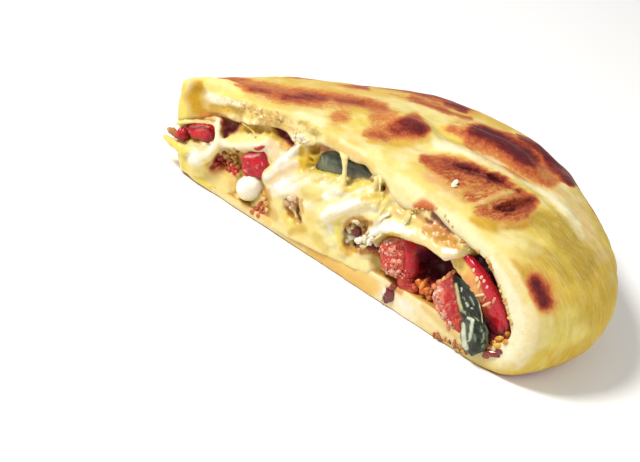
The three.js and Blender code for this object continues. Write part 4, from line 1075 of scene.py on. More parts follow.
# colour of the cheese where the picture shows it, with painted highlights and painted shade and shadow in places
CHEESE_PAINT = [
    (lin(232, 214, 74), 0.85, 0.8, (164, 137, 3), (172, 144, 4), (181, 149, 4), (182, 158, 4), (186, 167, 4), (193, 174, 4), (202, 181, 4), (212, 188, 3)),
    # the orange-tan stroke just under the lip is painted shade under the lip
    (lin(244, 232, 130), 0.9, 0.8, (181, 120, 6)), (lin(230, 176, 110), 0.8, 0.8, (193, 119, 3), (206, 120, 3), (214, 121, 3)), (CREAM, 0.7, 0.8, (198, 123.5, 1.5), (212, 125, 1.6)),
    (MILK, 0.9, 0.7, (220, 118, 2.6), (216, 126, 3), (215, 134, 4), (216, 142, 5)), (WHITE, 1.0, 0.8, (208, 147, 6), (200, 156, 8), (194, 160, 7)), (lin(246, 228, 140), 0.8, 0.8, (194, 171, 6), (203, 172, 4)),
    (lin(238, 200, 96), 0.7, 0.8, (206, 163, 3), (208, 172, 4)),
    (MILK, 0.95, 0.7, (223, 144, 4), (240, 146.5, 4), (258, 145, 4)), (lin(250, 236, 212), 0.9, 0.8, (263, 142, 4), (268, 150, 5)),
    (lin(212, 170, 58), 0.95, 0.8, (236, 128, 4), (250, 128.5, 4), (266, 130, 4), (277, 137, 4)), (lin(244, 228, 148), 0.8, 0.8, (230, 138, 5), (246, 137, 4), (262, 138, 4)),
    (lin(240, 208, 166), 0.85, 0.8, (272, 144, 5), (277, 152, 6), (272, 161, 5)), (lin(220, 170, 90), 0.85, 0.8, (283, 145, 4), (292, 150, 4)), (lin(196, 132, 52), 0.9, 0.8, (284, 140, 3), (294, 145, 3)),
    # the PURPLE strokes in the gaps under the top crust are the dark red filling there and painted shade in the gaps
    (PURPLE, 1.0, 0.5, (225, 122, 5), (231, 127, 7), (226, 133, 4)), (PURPLE, 1.0, 0.5, (240, 121, 4)), (lin(196, 112, 60), 0.9, 0.7, (222, 117, 3), (228, 118, 3)),
    (PURPLE, 1.0, 0.5, (278, 126, 4), (285, 131, 6), (290, 139, 5)), (lin(176, 84, 60), 0.8, 0.6, (293, 145, 3)),
    (lin(176, 66, 52), 1.0, 0.6, (213, 167, 3), (219, 159, 5), (226, 162, 4)), (lin(216, 128, 56), 0.9, 0.7, (212, 172, 3), (222, 171, 3), (232, 173, 3)), (lin(206, 118, 66), 0.8, 0.6, (224, 154, 2.4), (234, 155, 2.4)),
    (lin(240, 212, 128), 0.9, 0.9, (212, 179, 6), (226, 180, 7), (222, 189, 5)), (lin(226, 180, 90), 0.7, 0.8, (232, 196, 4), (240, 204, 4), (228, 172, 3)),
    (lin(212, 152, 80), 0.95, 0.8, (263, 188, 4), (264, 200, 5), (268, 214, 5)), (lin(198, 92, 54), 0.9, 0.7, (255, 208, 3), (261, 206, 4), (264, 214, 4)), (AMBER, 0.8, 0.8, (268, 190, 2.6), (270, 204, 2.6)), (lin(238, 216, 150), 0.8, 0.7, (262, 200, 3)),
    # the sheet
    # the first white stroke, along the sheet's upper edge, is a painted highlight
    (WHITE, 0.95, 0.7, (299, 146, 2), (288, 155, 4), (276, 167, 4), (268, 176, 4)), (lin(248, 230, 210), 0.9, 0.8, (284, 167, 6), (295, 165, 4), (290, 172, 5)),
    (lin(218, 178, 36), 1.0, 0.6, (302, 150, 3.5), (304, 160, 5.5), (303, 168, 5), (311, 157, 6), (317, 162, 3)), (lin(200, 166, 44), 0.85, 0.7, (314, 152, 4), (319, 157, 3)), (lin(176, 96, 70), 0.8, 0.6, (321, 148, 3), (326, 148, 3)),
    (lin(198, 180, 52), 0.8, 0.7, (312, 171, 3), (325, 174, 3), (338, 175, 2.6)), (lin(232, 220, 120), 0.6, 0.8, (318, 177, 4), (332, 178, 3)),
    (WHITE, 1.0, 0.9, (280, 186, 9), (292, 184, 9)), (lin(250, 242, 208), 0.8, 0.9, (306, 180, 7), (322, 183, 7)), (WHITE, 0.95, 0.8, (328, 187, 6), (335, 192, 6), (326, 196, 4)),
    (lin(242, 226, 140), 0.7, 0.8, (306, 192, 5), (316, 199, 5)), (MILK, 0.9, 0.8, (304, 203, 3), (310, 208, 4)),
    (lin(244, 226, 150), 0.9, 0.9, (276, 203, 5), (279, 214, 6), (286, 228, 7)), (lin(236, 210, 100), 0.8, 0.9, (284, 215, 4), (292, 224, 5), (304, 232, 6)), (lin(242, 220, 128), 0.8, 0.9, (310, 214, 6), (314, 230, 6), (318, 242, 6)),
    # the small white stroke at the end is a painted highlight
    (lin(248, 238, 170), 0.9, 0.9, (324, 226, 6), (330, 236, 6), (334, 246, 5)), (WHITE, 0.8, 0.7, (329, 228, 2.4), (331, 232, 2.4)),
    (lin(240, 222, 90), 0.8, 0.8, (339, 222, 3), (337, 232, 3), (340, 244, 3)),
    (WHITE, 1.0, 0.8, (325, 216, 5), (334, 211, 7), (346, 206, 6), (358, 202, 5), (372, 204, 3)), (MILK, 0.8, 0.8, (350, 212, 4), (366, 209, 4), (376, 212, 4)),
    (MILK, 0.9, 0.8, (346, 197, 3), (360, 192, 3), (372, 190, 3)), (lin(232, 208, 90), 0.85, 0.6, (346, 190, 3), (356, 187, 2.6), (366, 184, 2.6), (374, 182, 2)), (lin(226, 190, 70), 0.8, 0.6, (362, 199, 2), (374, 195, 2), (386, 196, 3)),
    # the olive and brown strokes below the basil leaf are painted shadow cast by the leaf
    (lin(232, 200, 90), 0.8, 0.6, (366, 204, 1.6), (377, 202, 1.6)), (lin(170, 146, 56), 0.95, 0.7, (350, 182, 3.4), (357, 179, 3.4), (364, 178, 2.6)), (lin(150, 110, 66), 0.9, 0.6, (352, 176, 2.4), (366, 177, 2.4), (373, 181, 2)),
    # the first stroke is painted shadow under the tip of the basil leaf
    (lin(168, 120, 64), 0.95, 0.6, (385, 185, 3), (387, 191, 3)), (lin(236, 210, 110), 0.8, 0.8, (388, 201, 4), (394, 208, 4)),
    # hollows
    # the dark brown stroke along the slit is painted shade in the slit
    (lin(206, 140, 46), 1.0, 0.6, (288, 206, 2.6), (290, 213, 3), (294, 218, 2)), (lin(150, 84, 44), 1.0, 0.5, (298, 199, 1.6), (297.5, 208, 1.8), (301.5, 223, 1.6)), (lin(216, 160, 60), 0.9, 0.6, (302, 200, 1.6), (302, 212, 1.4)),
    (lin(196, 136, 44), 1.0, 0.6, (347, 228, 4), (351, 221, 4), (361, 219, 3.4), (369, 223, 3.4), (364, 230, 4)), (lin(206, 144, 40), 1.0, 0.7, (345, 240, 3), (348, 248, 4), (356, 251, 3)), (lin(230, 180, 60), 0.8, 0.8, (342, 248, 3), (350, 254, 3)),
    (lin(134, 52, 54), 1.0, 0.5, (358, 228, 2.6), (356.5, 238, 3), (358, 246, 2.6)), (lin(176, 104, 50), 0.9, 0.6, (366, 229, 2.4), (364, 236, 2.4)), (lin(208, 128, 40), 0.95, 0.7, (362, 252, 3), (372, 251, 3), (380, 254, 3)),
    (WHITE, 1.0, 0.5, (360, 243, 1.8), (368, 234, 2.2), (376, 225, 2.2), (388, 214, 1.8)), (lin(196, 150, 74), 0.8, 0.5, (372, 232, 1.0), (382, 221, 1.0), (388, 217, 1.0)),
    (WHITE, 1.0, 0.8, (372, 235, 3), (380, 229, 4), (392, 226, 5), (404, 229, 4), (410, 233, 3)), (lin(224, 190, 44), 0.95, 0.6, (384, 237, 2), (392, 234, 3), (398, 236, 2.4)),
    (lin(246, 232, 170), 0.85, 0.9, (398, 215, 6), (412, 222, 7), (392, 206, 5)), (lin(238, 206, 116), 0.7, 0.9, (404, 205, 4), (414, 212, 4), (420, 222, 4)),
    # the amber stroke here and the brown and maroon strokes on the next line, up to the crust's edge, are partly sauce
    # stain and partly painted shade where the flap tucks under the crust; the small dark one is painted shade in the
    # slit
    (lin(244, 214, 150), 0.95, 0.8, (414, 236, 4), (428, 240, 5), (440, 248, 5), (450, 254, 4)), (lin(212, 152, 60), 0.95, 0.8, (424, 230, 4), (436, 236, 5), (449, 243, 5), (458, 248, 3)),
    (lin(204, 134, 56), 0.95, 0.8, (416, 214, 3), (428, 223, 4), (438, 229, 4), (448, 236, 4), (455, 242, 3)), (lin(180, 92, 44), 0.9, 0.7, (434, 216, 3), (442, 224, 3.4), (449, 231, 2.6)), (lin(122, 58, 52), 1.0, 0.6, (426, 219, 1.4), (432, 221.5, 1.8)), (lin(116, 64, 60), 1.0, 0.6, (434, 213, 3), (441, 220, 3), (449, 229, 2.6)),
    # the white stroke at the flap's lower end is a painted highlight
    (lin(206, 160, 80), 0.8, 0.6, (418, 214, 3), (424, 218, 2)), (WHITE, 1.0, 0.6, (445, 251, 3), (454, 252, 2.6)), (lin(246, 214, 196), 0.8, 0.6, (446, 258.5, 2), (453, 259, 2)),
    (lin(206, 166, 62), 0.80, 0.9, (296, 222, 3.6), (302, 229, 4.4), (291, 232, 3.6)), (lin(214, 174, 76), 0.75, 0.9, (271, 209, 3.6), (275, 218, 4)), (lin(222, 194, 86), 0.6, 0.9, (316, 236, 4), (320, 243, 4), (326, 250, 4)),
    # the second stroke here is more of that stain and painted shade on the flap
    (lin(216, 178, 94), 0.75, 0.9, (394, 209, 4), (402, 215, 5), (412, 220, 5), (422, 226, 4)), (lin(190, 128, 40), 0.75, 0.9, (436, 233, 4), (444, 238, 3.6)),
    (lin(228, 200, 108), 0.50, 0.9, (353, 195.5, 3), (366, 193.5, 3)), (lin(214, 194, 106), 0.55, 0.9, (313, 179, 4), (324, 180, 4), (334, 181, 3)),
    (lin(222, 188, 132), 0.70, 0.9, (272, 181, 3.6), (280, 175, 4), (290, 169, 4), (296, 166, 3)), (lin(216, 184, 92), 0.50, 0.9, (304, 192, 3), (312, 197, 4), (320, 199, 3)),
    # the middle stroke is a painted highlight
    (lin(164, 114, 38), 0.60, 0.8, (345, 233, 2.6), (346, 242, 2.6)), (lin(250, 240, 214), 0.80, 0.8, (327, 221, 2.6), (331, 229, 3)), (lin(222, 192, 118), 0.60, 0.8, (199, 148.5, 3), (205, 148, 3)),
    (WHITE, 0.85, 0.8, (283, 188, 4), (292, 184, 4)), (WHITE, 0.85, 0.8, (330, 208, 3.4), (341, 208, 3.6), (354, 204, 3.4)),
]


def cheese_piece():
    g = (axis(-76.0, (60.0, 0.36)), axis(-4.6, (6.5, 0.36), (14.0, 0.8), (24.0, 1.6), (84.0, 3.4)), axis(1.0, (36.6, 0.36)))
    X, Y, Z = g
    x, y, z = X[:, None, None], Y[None, :, None], Z[None, None, :]
    front = depth_map(X, Z, CHEESE_FRONT)[:, None, :]
    wide = grid_noise(g, (9, 9, 9), 31, 2)
    fine = grid_noise(g, (2.6, 2.6, 2.6), 32, 2)
    f = (front - y) * 0.8 + 0.22 * wide + 0.06 * fine
    gap = outline(X[:, None], Z[None, :], SEAM_GAP)[:, None, :]
    gap = smax(gap + 0.12 * y + 0.34 * np.maximum(y - 3, 0), np.abs(y - 2) - 13, 3.0)
    room = smax(np.minimum(pocket(x, y, z), gap + 0.1), mouth(g) - 0.5, 0.6) - 0.35
    low_side = smooth(16, 9, z - 0.05 * x) * (1 - smooth(22, 40, x))
    spill = (0.9 + 1.2 * low_side + 0.4 * wide) * smooth(2.6, 0.6, y)      # melted over the edge of the pocket
    f = smax(f, room - spill, 0.7)
    f = smax(f, -(x + 62.9 + 0.36 * z + 1.2 * np.maximum(y, 0)) - 0.2 * wide, 1.2)
    f = smax(f, body(x, y, z) + 0.7 - 4.2 * smooth(4.4, 1.6, y), 0.9)      # behind the cut it stays inside the dough
    red = ellipsoid(x, y, z, (48, 8, 11), (33.3, 84.3, 17.3), 0, 2.6)
    f = smax(f, -red, 0.6)
    f = f.astype(np.float32)
    for k, *stops in CHEESE_RODS:
        stamp(f, g, rods, k, 2.5 + k, *stops)
    for k, *stops in CHEESE_HOLES:
        stamp(f, g, rods, k, 2.5 + k, *stops, cut=True)
    v, q = surface(f, g)
    v, q = keep_large(v, q, 500)
    v = relax(v, q, 3, 0.5)
    n = normals(v, q)
    # pulled streaks and small dimples
    U, V, facing = seen(v, n)
    along, across = RIGHT * 0.90 + UP * 0.44, UP * 0.90 - RIGHT * 0.44
    w = np.stack([v @ along / 14.0, v @ across / 1.05, v[:, 1] / 5.0], 1)
    streak = noise(w, 1.0, 41, 2)
    here = smooth(-0.7, 0.7, stroke(U, V, [(330, 214, 10), (352, 200, 12), (378, 194, 11)])) + 0.6 * smooth(-0.7, 0.7, stroke(U, V, [(282, 184, 12), (320, 186, 9)]))
    sheet = smooth(-0.6, 0.8, stroke(U, V, [(276, 172, 10), (292, 182, 16), (316, 188, 16), (346, 196, 18), (376, 200, 14)])) + 0.7 * smooth(-0.6, 0.8, stroke(U, V, [(322, 212, 10), (330, 232, 14)]))
    here = np.maximum(here, 0.75 * sheet)
    flap = smooth(-0.6, 0.8, stroke(U, V, [(416, 220, 9), (434, 232, 12), (452, 246, 9)]))
    v = v + n * ((0.02 + 0.16 * here) * streak * smooth(3.6, 2.2, v[:, 1]) + 0.05 * noise(v, 1.1, 42, 2) * (1 - 0.8 * flap))[:, None] * (v[:, 1] < 12)[:, None]
    # painted shade: the deeper the cheese lies in the pocket, the darker it is painted, from yellow through brown to
    # maroon; then colour by place
    d = v[:, 1] + 0.5 * noise(v, 3.0, 43, 2)
    col = np.repeat(lin(244, 226, 158)[None], len(v), 0)
    side = smooth(-3.0, -1.4, body(*v.T)) * smooth(-46, -56, v[:, 0])
    d = d * (1 - 0.8 * side)
    col = blend(col, smooth(1.0, 3.6, d), lin(228, 190, 84))
    col = blend(col, smooth(3.0, 6.5, d), lin(200, 134, 60))
    col = blend(col, smooth(6.0, 9.5, d), BROWN)
    col = blend(col, smooth(8.0, 12.0, d), MAROON)
    col = painted(v, n, col, CHEESE_PAINT)
    col = blend(col, 0.55 * here * smooth(0.0, 0.55, -streak), lin(236, 212, 104))
    col = blend(col, 0.40 * smooth(0.1, 0.8, noise(v, 4.5, 44, 2)) * smooth(4.0, 2.0, v[:, 1]), lin(240, 220, 128))
    SHOWN["cheese"] = (v, q)
    o = mesh("cheese_melt", v, q, {}, col, food("cheese_look", 1.6, 0.04, 0.33, 0.30, (1.0, 0.7, 0.35), tuple(lin(232, 196, 96) * EXPOSE), 0.12, 0.10, 0.25, 0.0022, specular=0.30))
    return place(o, "cheese", "cheese")


# ------------------------------------------------------------------ red filling
RED_FRONT = [
    (434, 262, 11.0, 3.0), (424, 256, 8.0, 2.0), (444, 270, 11.0, 3.0), (440, 256, 12.0, 2.4), (421, 268, 6.0, 1.8), (428, 274, 8.0, 1.8),
    (409, 243, 1.4, 1.8), (414, 250, 1.0, 1.8), (413, 262, 0.8, 2.0), (411, 274, 1.0, 2.0), (404, 284, 1.4, 2.0), (412, 288, 1.6, 2.0), (420, 284, 1.8, 1.6), (400, 290, 1.6, 1.6), (402, 276, 1.4, 1.6),
    (426, 290, 2.6, 1.8), (432, 284, 5.0, 1.6), (446, 284, 6.0, 2.0), (424, 280, 2.4, 1.4),
    (455, 280, 6.0, 2.6), (470, 300, 5.0, 3.0), (478, 290, 5.0, 3.0), (490, 312, 2.4, 2.4), (500, 322, 2.6, 2.2), (490, 328, 3.6, 2.2), (497, 340, 2.6, 1.8),
    (506, 335, 2.4, 1.6), (488, 346, 3.0, 2.0), (492, 355, 5.0, 1.8), (476, 335, 4.0, 3.0), (460, 330, 3.6, 2.4), (440, 312, 4.6, 3.0), (484, 262, 8.0, 2.6), (500, 290, 8.0, 2.6),
]
# colour of the red filling by place, with painted shade in its hollow and pockets
RED_PAINT = [
    (lin(196, 16, 34), 1.0, 0.6, (407, 242, 4), (414, 246, 5)), (lin(190, 26, 36), 1.0, 0.8, (409, 254, 6), (411, 268, 7)), (lin(168, 28, 40), 1.0, 0.8, (418, 262, 5), (416, 278, 5)),
    (lin(208, 70, 44), 0.95, 0.8, (402, 268, 4), (402, 282, 4)), (lin(190, 40, 34), 0.95, 0.8, (407, 280, 5), (412, 288, 5)), (lin(216, 110, 50), 0.9, 0.7, (401, 291, 3), (412, 292, 2.4)),
    # the dark maroon strokes here are painted shade in the hollow under the cheese flap
    (lin(104, 32, 52), 1.0, 0.8, (424, 256, 6), (432, 264, 8), (434, 274, 6), (444, 276, 5)), (lin(88, 36, 50), 0.9, 0.8, (440, 266, 6), (450, 270, 5)), (lin(120, 30, 50), 0.9, 0.8, (420, 250, 4)),
    (lin(226, 126, 40), 1.0, 0.6, (419, 282, 3.4), (424, 286, 4.4), (427, 294, 3.4)), (lin(240, 176, 90), 0.9, 0.6, (426, 281, 1.6), (422, 291, 1.6)),
    # the first dark stroke here is painted shade in the pocket between the chunk and the pepper
    (lin(96, 28, 44), 1.0, 0.7, (450, 280, 5), (452, 290, 5)), (lin(178, 26, 42), 1.0, 0.8, (488, 308, 6), (500, 314, 5)), (lin(110, 34, 58), 1.0, 0.8, (488, 322, 6), (496, 330, 7), (486, 336, 5)),
    # the first stroke here is painted shade in the pocket at the lower right
    (lin(120, 32, 50), 0.9, 0.8, (487, 350, 5), (496, 354, 5)), (lin(150, 60, 50), 0.8, 0.7, (480, 348, 3)),
]


def red_piece():
    g = (axis(14.0, (66.0, 0.42)), axis(-1.0, (14.0, 0.42), (26.0, 1.2), (84.0, 3.4)), axis(2.6, (33.0, 0.42)))
    X, Y, Z = g
    x, y, z = X[:, None, None], Y[None, :, None], Z[None, None, :]
    front = depth_map(X, Z, RED_FRONT)[:, None, :]
    wide, fine = grid_noise(g, (5, 5, 5), 51, 2), grid_noise(g, (1.7, 1.7, 1.7), 52, 2)
    f = (front - y) * 0.8 + 0.4 * wide + 0.14 * fine
    f = smax(f, pocket(x, y, z) - 0.3, 0.6)
    f = smax(f, ellipsoid(x, y, z, (48, 8, 11), (33, 84, 17), 0, 2.6), 0.4)
    f = f.astype(np.float32)
    stamp(f, g, rods, 1.4, 3.0, (409, 244, 2.4, 2.0), (412, 254, 2.4, 2.4), (411, 268, 2.4, 2.4), (405, 282, 2.6, 2.2), (412, 288, 2.6, 1.8))
    for s in [(419, 283, 2.6, 1.3), (424, 288, 2.8, 1.4), (428, 294, 3.0, 1.1)]:
        stamp(f, g, rods, 0.5, 2.5, s, (s[0] + 2, s[1] + 3, s[2], s[3] * 0.8))
    v, q = surface(f, g)
    v, q = keep_large(v, q, 300)
    v = relax(v, q, 1, 0.4)
    n = normals(v, q)
    v = v + n * (0.09 * noise(v, 0.9, 61, 2) * (v[:, 1] < 14))[:, None]
    # painted shade: the deeper the sauce lies, the darker purple it is painted
    d = v[:, 1] + noise(v, 3.0, 62, 2)
    t = clamp01(0.5 + 0.6 * noise(v, 2.6, 63, 2))[:, None]
    col = DEEP * (1 - t) + lin(184, 38, 36) * t
    col = blend(col, smooth(0.55, 0.9, 0.5 + 0.5 * noise(v, 1.8, 64, 2)) * 0.5, ORANGE)
    col = blend(col, smooth(3.5, 8.0, d), lin(100, 32, 50))
    col = painted(v, n, col, RED_PAINT, 1.0, 320)
    SHOWN["red"] = (v, q)
    o = mesh("red_sauce", v, q, {}, col, food("sauce_look", 1.0, 0.10, 0.20, 0.08, (1.0, 0.2, 0.1), tuple(lin(206, 60, 36) * EXPOSE), 0.12, 0.08, 0.7, specular=0.26))
    return place(o, "sauce", "red_filling")


# ------------------------------------------------------------------ lumps: tomato, pulp, sauce chunk, pearl
def pillow(name, marks, depth, back, k, bulge, rough, seed, paint, material, slot, node, grit=0.0, step=0.27, extra=None):
    """A lump whose face follows an outline of the picture at that depth, domed by bulge and rounded by k."""
    p = np.array([at(u, v, depth) for u, v in marks])
    g = (np.arange(p[:, 0].min() - 2.5, p[:, 0].max() + 2.5, step), np.arange(depth - bulge - 2.5, back + 1.5, step), np.arange(p[:, 2].min() - 2.5, p[:, 2].max() + 2.5, step))
    x, y, z = g[0][:, None, None], g[1][None, :, None], g[2][None, None, :]
    ring = outline(g[0][:, None], g[2][None, :], marks, depth)[:, None, :]
    wide, mid, fine = grid_noise(g, (6.0,) * 3, seed, 1), grid_noise(g, (2.4,) * 3, seed + 1, 2), grid_noise(g, (1.0,) * 3, seed + 2, 1)
    dome = bulge * np.sqrt(smooth(0.0, 5.0, -ring))
    f = smax(ring + 0.10 * np.maximum(y - depth - 2, 0), (depth - dome - y), k)
    f = smax(f, y - back, 1.5)
    if extra:
        f = extra(f, x, y, z)
    f = f + rough * (0.6 * wide + mid) + grit * np.abs(fine)
    v, q = surface(f.astype(np.float32), g)
    v, q = keep_large(v, q, 200)
    v = relax(v, q, 1, 0.4)
    n = normals(v, q)
    SHOWN[name] = (v, q)
    return place(mesh(name, v, q, {}, paint(v, n), material), slot, node)


def lumps():
    red = food("tomato_look", 0.9, bump=0.12, rough=0.17, sss=0.10, radius=(1.0, 0.15, 0.08), warm=tuple(lin(214, 40, 34) * EXPOSE), vary=0.10, coat=0.10, fine=0.8, specular=0.24)

    def left_paint(v, n):
        t = clamp01(0.5 + 0.5 * noise(v, 2.2, 72, 3))[:, None]
        col = lin(204, 10, 30) * (1 - t) + lin(166, 4, 30) * t
        return painted(v, n, col, [
            # the pale pink strokes are painted highlights
            (lin(236, 150, 140), 0.8, 0.6, (190, 127, 1.4), (200, 126, 1.6), (207, 127, 1.4)), (lin(228, 110, 96), 0.7, 0.6, (196, 130, 1.4), (203, 129, 1.2)),
            (lin(150, 12, 34), 0.9, 0.7, (181, 139, 3), (187, 132, 1.6)), (lin(140, 20, 40), 0.9, 0.7, (206, 141, 3.4), (211, 136, 2.6)), (lin(214, 30, 40), 0.8, 0.8, (196, 134, 4)), (lin(230, 130, 110), 0.8, 0.5, (189, 132, 1.2)),
        ], 0.6, 340)
    pillow("tomato_left_piece", [(183, 127), (190, 124), (200, 123.5), (209, 126), (214, 132), (213.5, 139), (208, 144.5), (203, 144), (197, 140.5), (190, 138.5), (188, 133)],
           0.6, 5.2, 1.3, 1.2, 0.34, 71, left_paint, red, "tomato", "tomato_left", grit=0.3,
           extra=lambda f, x, y, z: smin(f, ellipsoid(x, y, z, at(182.5, 134, 1.6), (1.9, 2.6, 2.6), 24), 0.3))

    def cube_paint(v, n):
        t = clamp01(0.5 + 0.5 * noise(v, 2.0, 76, 3))[:, None]
        col = lin(206, 0, 34) * (1 - t) + lin(178, 0, 30) * t
        return painted(v, n, col, [
            # the pink strokes on the top face and the small pale spots are painted highlights; the darker stroke down
            # the right face is painted shade on that side
            (lin(216, 80, 76), 0.8, 0.6, (243, 155, 2.4), (252, 155, 2.6), (260, 153, 1.8)), (lin(246, 186, 180), 0.8, 0.5, (246, 157, 1.0), (253, 156, 1.2), (259, 154, 0.8)), (lin(246, 170, 160), 0.9, 0.4, (248, 163, 0.7)), (lin(246, 170, 160), 0.9, 0.4, (257, 168, 0.8)), (lin(240, 150, 140), 0.9, 0.4, (244, 170, 0.6), (246, 172, 0.6)), (lin(240, 140, 130), 0.8, 0.4, (262, 162, 0.6), (263, 166, 0.6)),
            (lin(176, 26, 46), 0.9, 0.7, (264, 158, 2.6), (267, 166, 2.6), (264, 174, 2)), (lin(224, 100, 80), 0.6, 0.5, (258, 166, 1), (246, 170, 1)), (lin(214, 60, 56), 0.7, 0.7, (242, 164, 1.6), (241, 172, 1.6)),
            (lin(190, 0, 32), 0.8, 0.8, (252, 170, 5)),
        ], 0.6, 350)
    pillow("tomato_cube", [(241, 155), (250, 151.5), (261.5, 152), (263.5, 149), (265, 157), (268.5, 165), (264, 175), (261.5, 181), (254, 178), (243.5, 176.5), (240, 170)],
           0.6, 6.6, 0.8, 0.7, 0.26, 75, cube_paint, red, "tomato", "tomato_middle", grit=0.3)

    pulp_look = food("pulp_look", 0.8, bump=0.20, rough=0.16, sss=0.10, radius=(1.0, 0.2, 0.1), warm=tuple(lin(226, 110, 80) * EXPOSE), vary=0.16, coat=0.12, fine=0.9, specular=0.3, beads=0.7, bead=tuple(lin(246, 186, 160) * EXPOSE), size=1.0)

    def pulp_paint(v, n):
        t = clamp01(0.5 + 0.8 * noise(v, 1.5, 81, 2))[:, None]
        col = lin(206, 52, 46) * (1 - t) + lin(222, 92, 74) * t
        return painted(v, n, col, [
            (lin(206, 96, 56), 0.8, 0.8, (384, 270, 4), (394, 278, 4), (402, 276, 3)), (lin(200, 30, 40), 0.9, 0.7, (383, 260, 3), (384, 266, 2)), (lin(240, 190, 170), 0.7, 0.7, (384, 240, 3), (396, 240, 3)),
            (lin(196, 34, 40), 0.8, 0.7, (392, 250, 4), (404, 248, 2.4)), (lin(250, 210, 190), 0.8, 0.6, (394, 260, 2), (400, 264, 2)), (lin(224, 140, 70), 0.8, 0.7, (378, 268, 2.4), (388, 277, 2.4)),
        ], 1.2, 360)
    pillow("tomato_pulp_piece", [(377, 243), (385, 237), (396, 235.5), (405, 240), (406, 252), (405, 266), (402, 276), (397, 281.5), (388, 278), (380, 270), (376, 257)],
           0.4, 8.6, 1.8, 1.4, 0.40, 84, pulp_paint, pulp_look, "tomato", "tomato_pulp", grit=0.35)

    chunk_look = food("chunk_look", 0.9, bump=0.16, rough=0.14, sss=0.10, radius=(1.0, 0.2, 0.1), warm=tuple(lin(220, 90, 60) * EXPOSE), vary=0.14, coat=0.12, fine=0.9, specular=0.3, beads=0.45, bead=tuple(lin(244, 170, 140) * EXPOSE), size=1.1)

    def chunk_paint(v, n):
        t = clamp01(0.5 + 0.7 * noise(v, 1.9, 91, 2))[:, None]
        col = lin(206, 16, 24) * (1 - t) + lin(204, 50, 34) * t
        return painted(v, n, col, [
            (lin(240, 186, 160), 0.85, 0.7, (438, 290, 4), (434, 298, 3)), (lin(236, 140, 110), 0.8, 0.7, (442, 296, 4), (438, 306, 4), (443, 316, 3)), (lin(246, 200, 170), 0.7, 0.6, (436, 308, 2), (441, 319, 2)),
            (lin(198, 12, 34), 0.95, 0.7, (448, 296, 4), (452, 308, 4), (450, 318, 4)), (lin(214, 60, 34), 0.9, 0.8, (458, 318, 3), (457, 330, 3)), (lin(176, 24, 40), 0.8, 0.7, (452, 312, 2)),
            (lin(206, 90, 66), 0.9, 0.7, (436, 284, 3), (444, 278, 3), (450, 274, 2)), (lin(150, 30, 46), 0.9, 0.7, (448, 284, 3)), (lin(214, 96, 56), 0.8, 0.7, (431, 300, 2), (436, 314, 2)),
        ], 1.2, 370)
    pillow("sauce_lump", [(452, 273), (445, 275), (438, 281), (431.5, 288), (429, 297), (433, 306), (436.5, 314), (440, 322), (448, 328), (456, 334), (461.5, 335), (463, 325), (462, 310), (459, 300), (457.5, 290), (455.5, 281)],
           0.4, 6.8, 1.4, 1.2, 0.34, 94, chunk_paint, chunk_look, "sauce", "sauce_chunk", grit=0.22)

    pearl_look = food("pearl_look", 2.2, bump=0.03, rough=0.26, sss=0.4, radius=(1.0, 0.85, 0.6), warm=tuple(lin(244, 220, 150) * EXPOSE), vary=0.06, coat=0.2, fine=0.3, deep=0.003)

    def pearl_paint(v, n):
        # the yellow strokes on the lower part are painted shade
        return painted(v, n, np.repeat(lin(255, 252, 236)[None], len(v), 0), [(lin(248, 232, 160), 0.8, 1.0, (236, 195, 4), (241, 202, 5), (252, 201, 4)), (lin(236, 206, 100), 0.8, 0.9, (240, 206, 2.4), (251, 204, 2.4))], 0.6, 380)
    pillow("mozzarella_ball", [(234.5, 179.5), (239.5, 176), (247, 175), (253, 177.5), (256.5, 183), (257, 190), (254, 198), (248, 203.5), (241.5, 203.5), (236, 199), (233, 192), (232.5, 185)],
           -0.4, 5.2, 4.2, 2.0, 0.05, 97, pearl_paint, pearl_look, "cheese", "mozzarella_pearl")


# ------------------------------------------------------------------ strips and leaves: swept closed sections
def sweep(stations, sides):
    """Points and faces of a closed tube through stations, each an array (sides, 3)."""
    v = np.concatenate(stations)
    n = len(stations)
    i, j = np.meshgrid(np.arange(n - 1), np.arange(sides), indexing="ij")
    a, b = i * sides + j, i * sides + (j + 1) % sides
    q = np.stack([a, b, b + sides, a + sides], -1).reshape(-1, 4)
    ends = [stations[0].mean(0), stations[-1].mean(0)]
    v = np.concatenate([v, ends])
    k = np.arange(sides)
    t0 = np.stack([(k + 1) % sides, k, np.full(sides, n * sides)], 1)
    t1 = np.stack([(n - 1) * sides + k, (n - 1) * sides + (k + 1) % sides, np.full(sides, n * sides + 1)], 1)
    return v, q, np.concatenate([t0, t1])


def curve(points, count):
    """A smooth curve (Catmull-Rom) through points."""
    p = np.array(points, float)
    p = np.concatenate([[2 * p[0] - p[1]], p, [2 * p[-1] - p[-2]]])
    t = np.linspace(0, len(p) - 3 - 1e-9, count)
    i = t.astype(int)
    f = (t - i)[:, None]
    a, b, c, d = p[i], p[i + 1], p[i + 2], p[i + 3]
    return 0.5 * (2 * b + (c - a) * f + (2 * a - 5 * b + 4 * c - d) * f ** 2 + (3 * b - a - 3 * c + d) * f ** 3)


def outwards(v, groups):
    """Turns a closed mesh's faces so that its volume is positive."""
    vol = 0.0
    for g in groups:
        for k in range(1, g.shape[1] - 1):
            vol += np.einsum("ij,ij->i", v[g[:, 0]], np.cross(v[g[:, k]], v[g[:, k + 1]])).sum()
    return groups if vol > 0 else [g[:, ::-1] for g in groups]


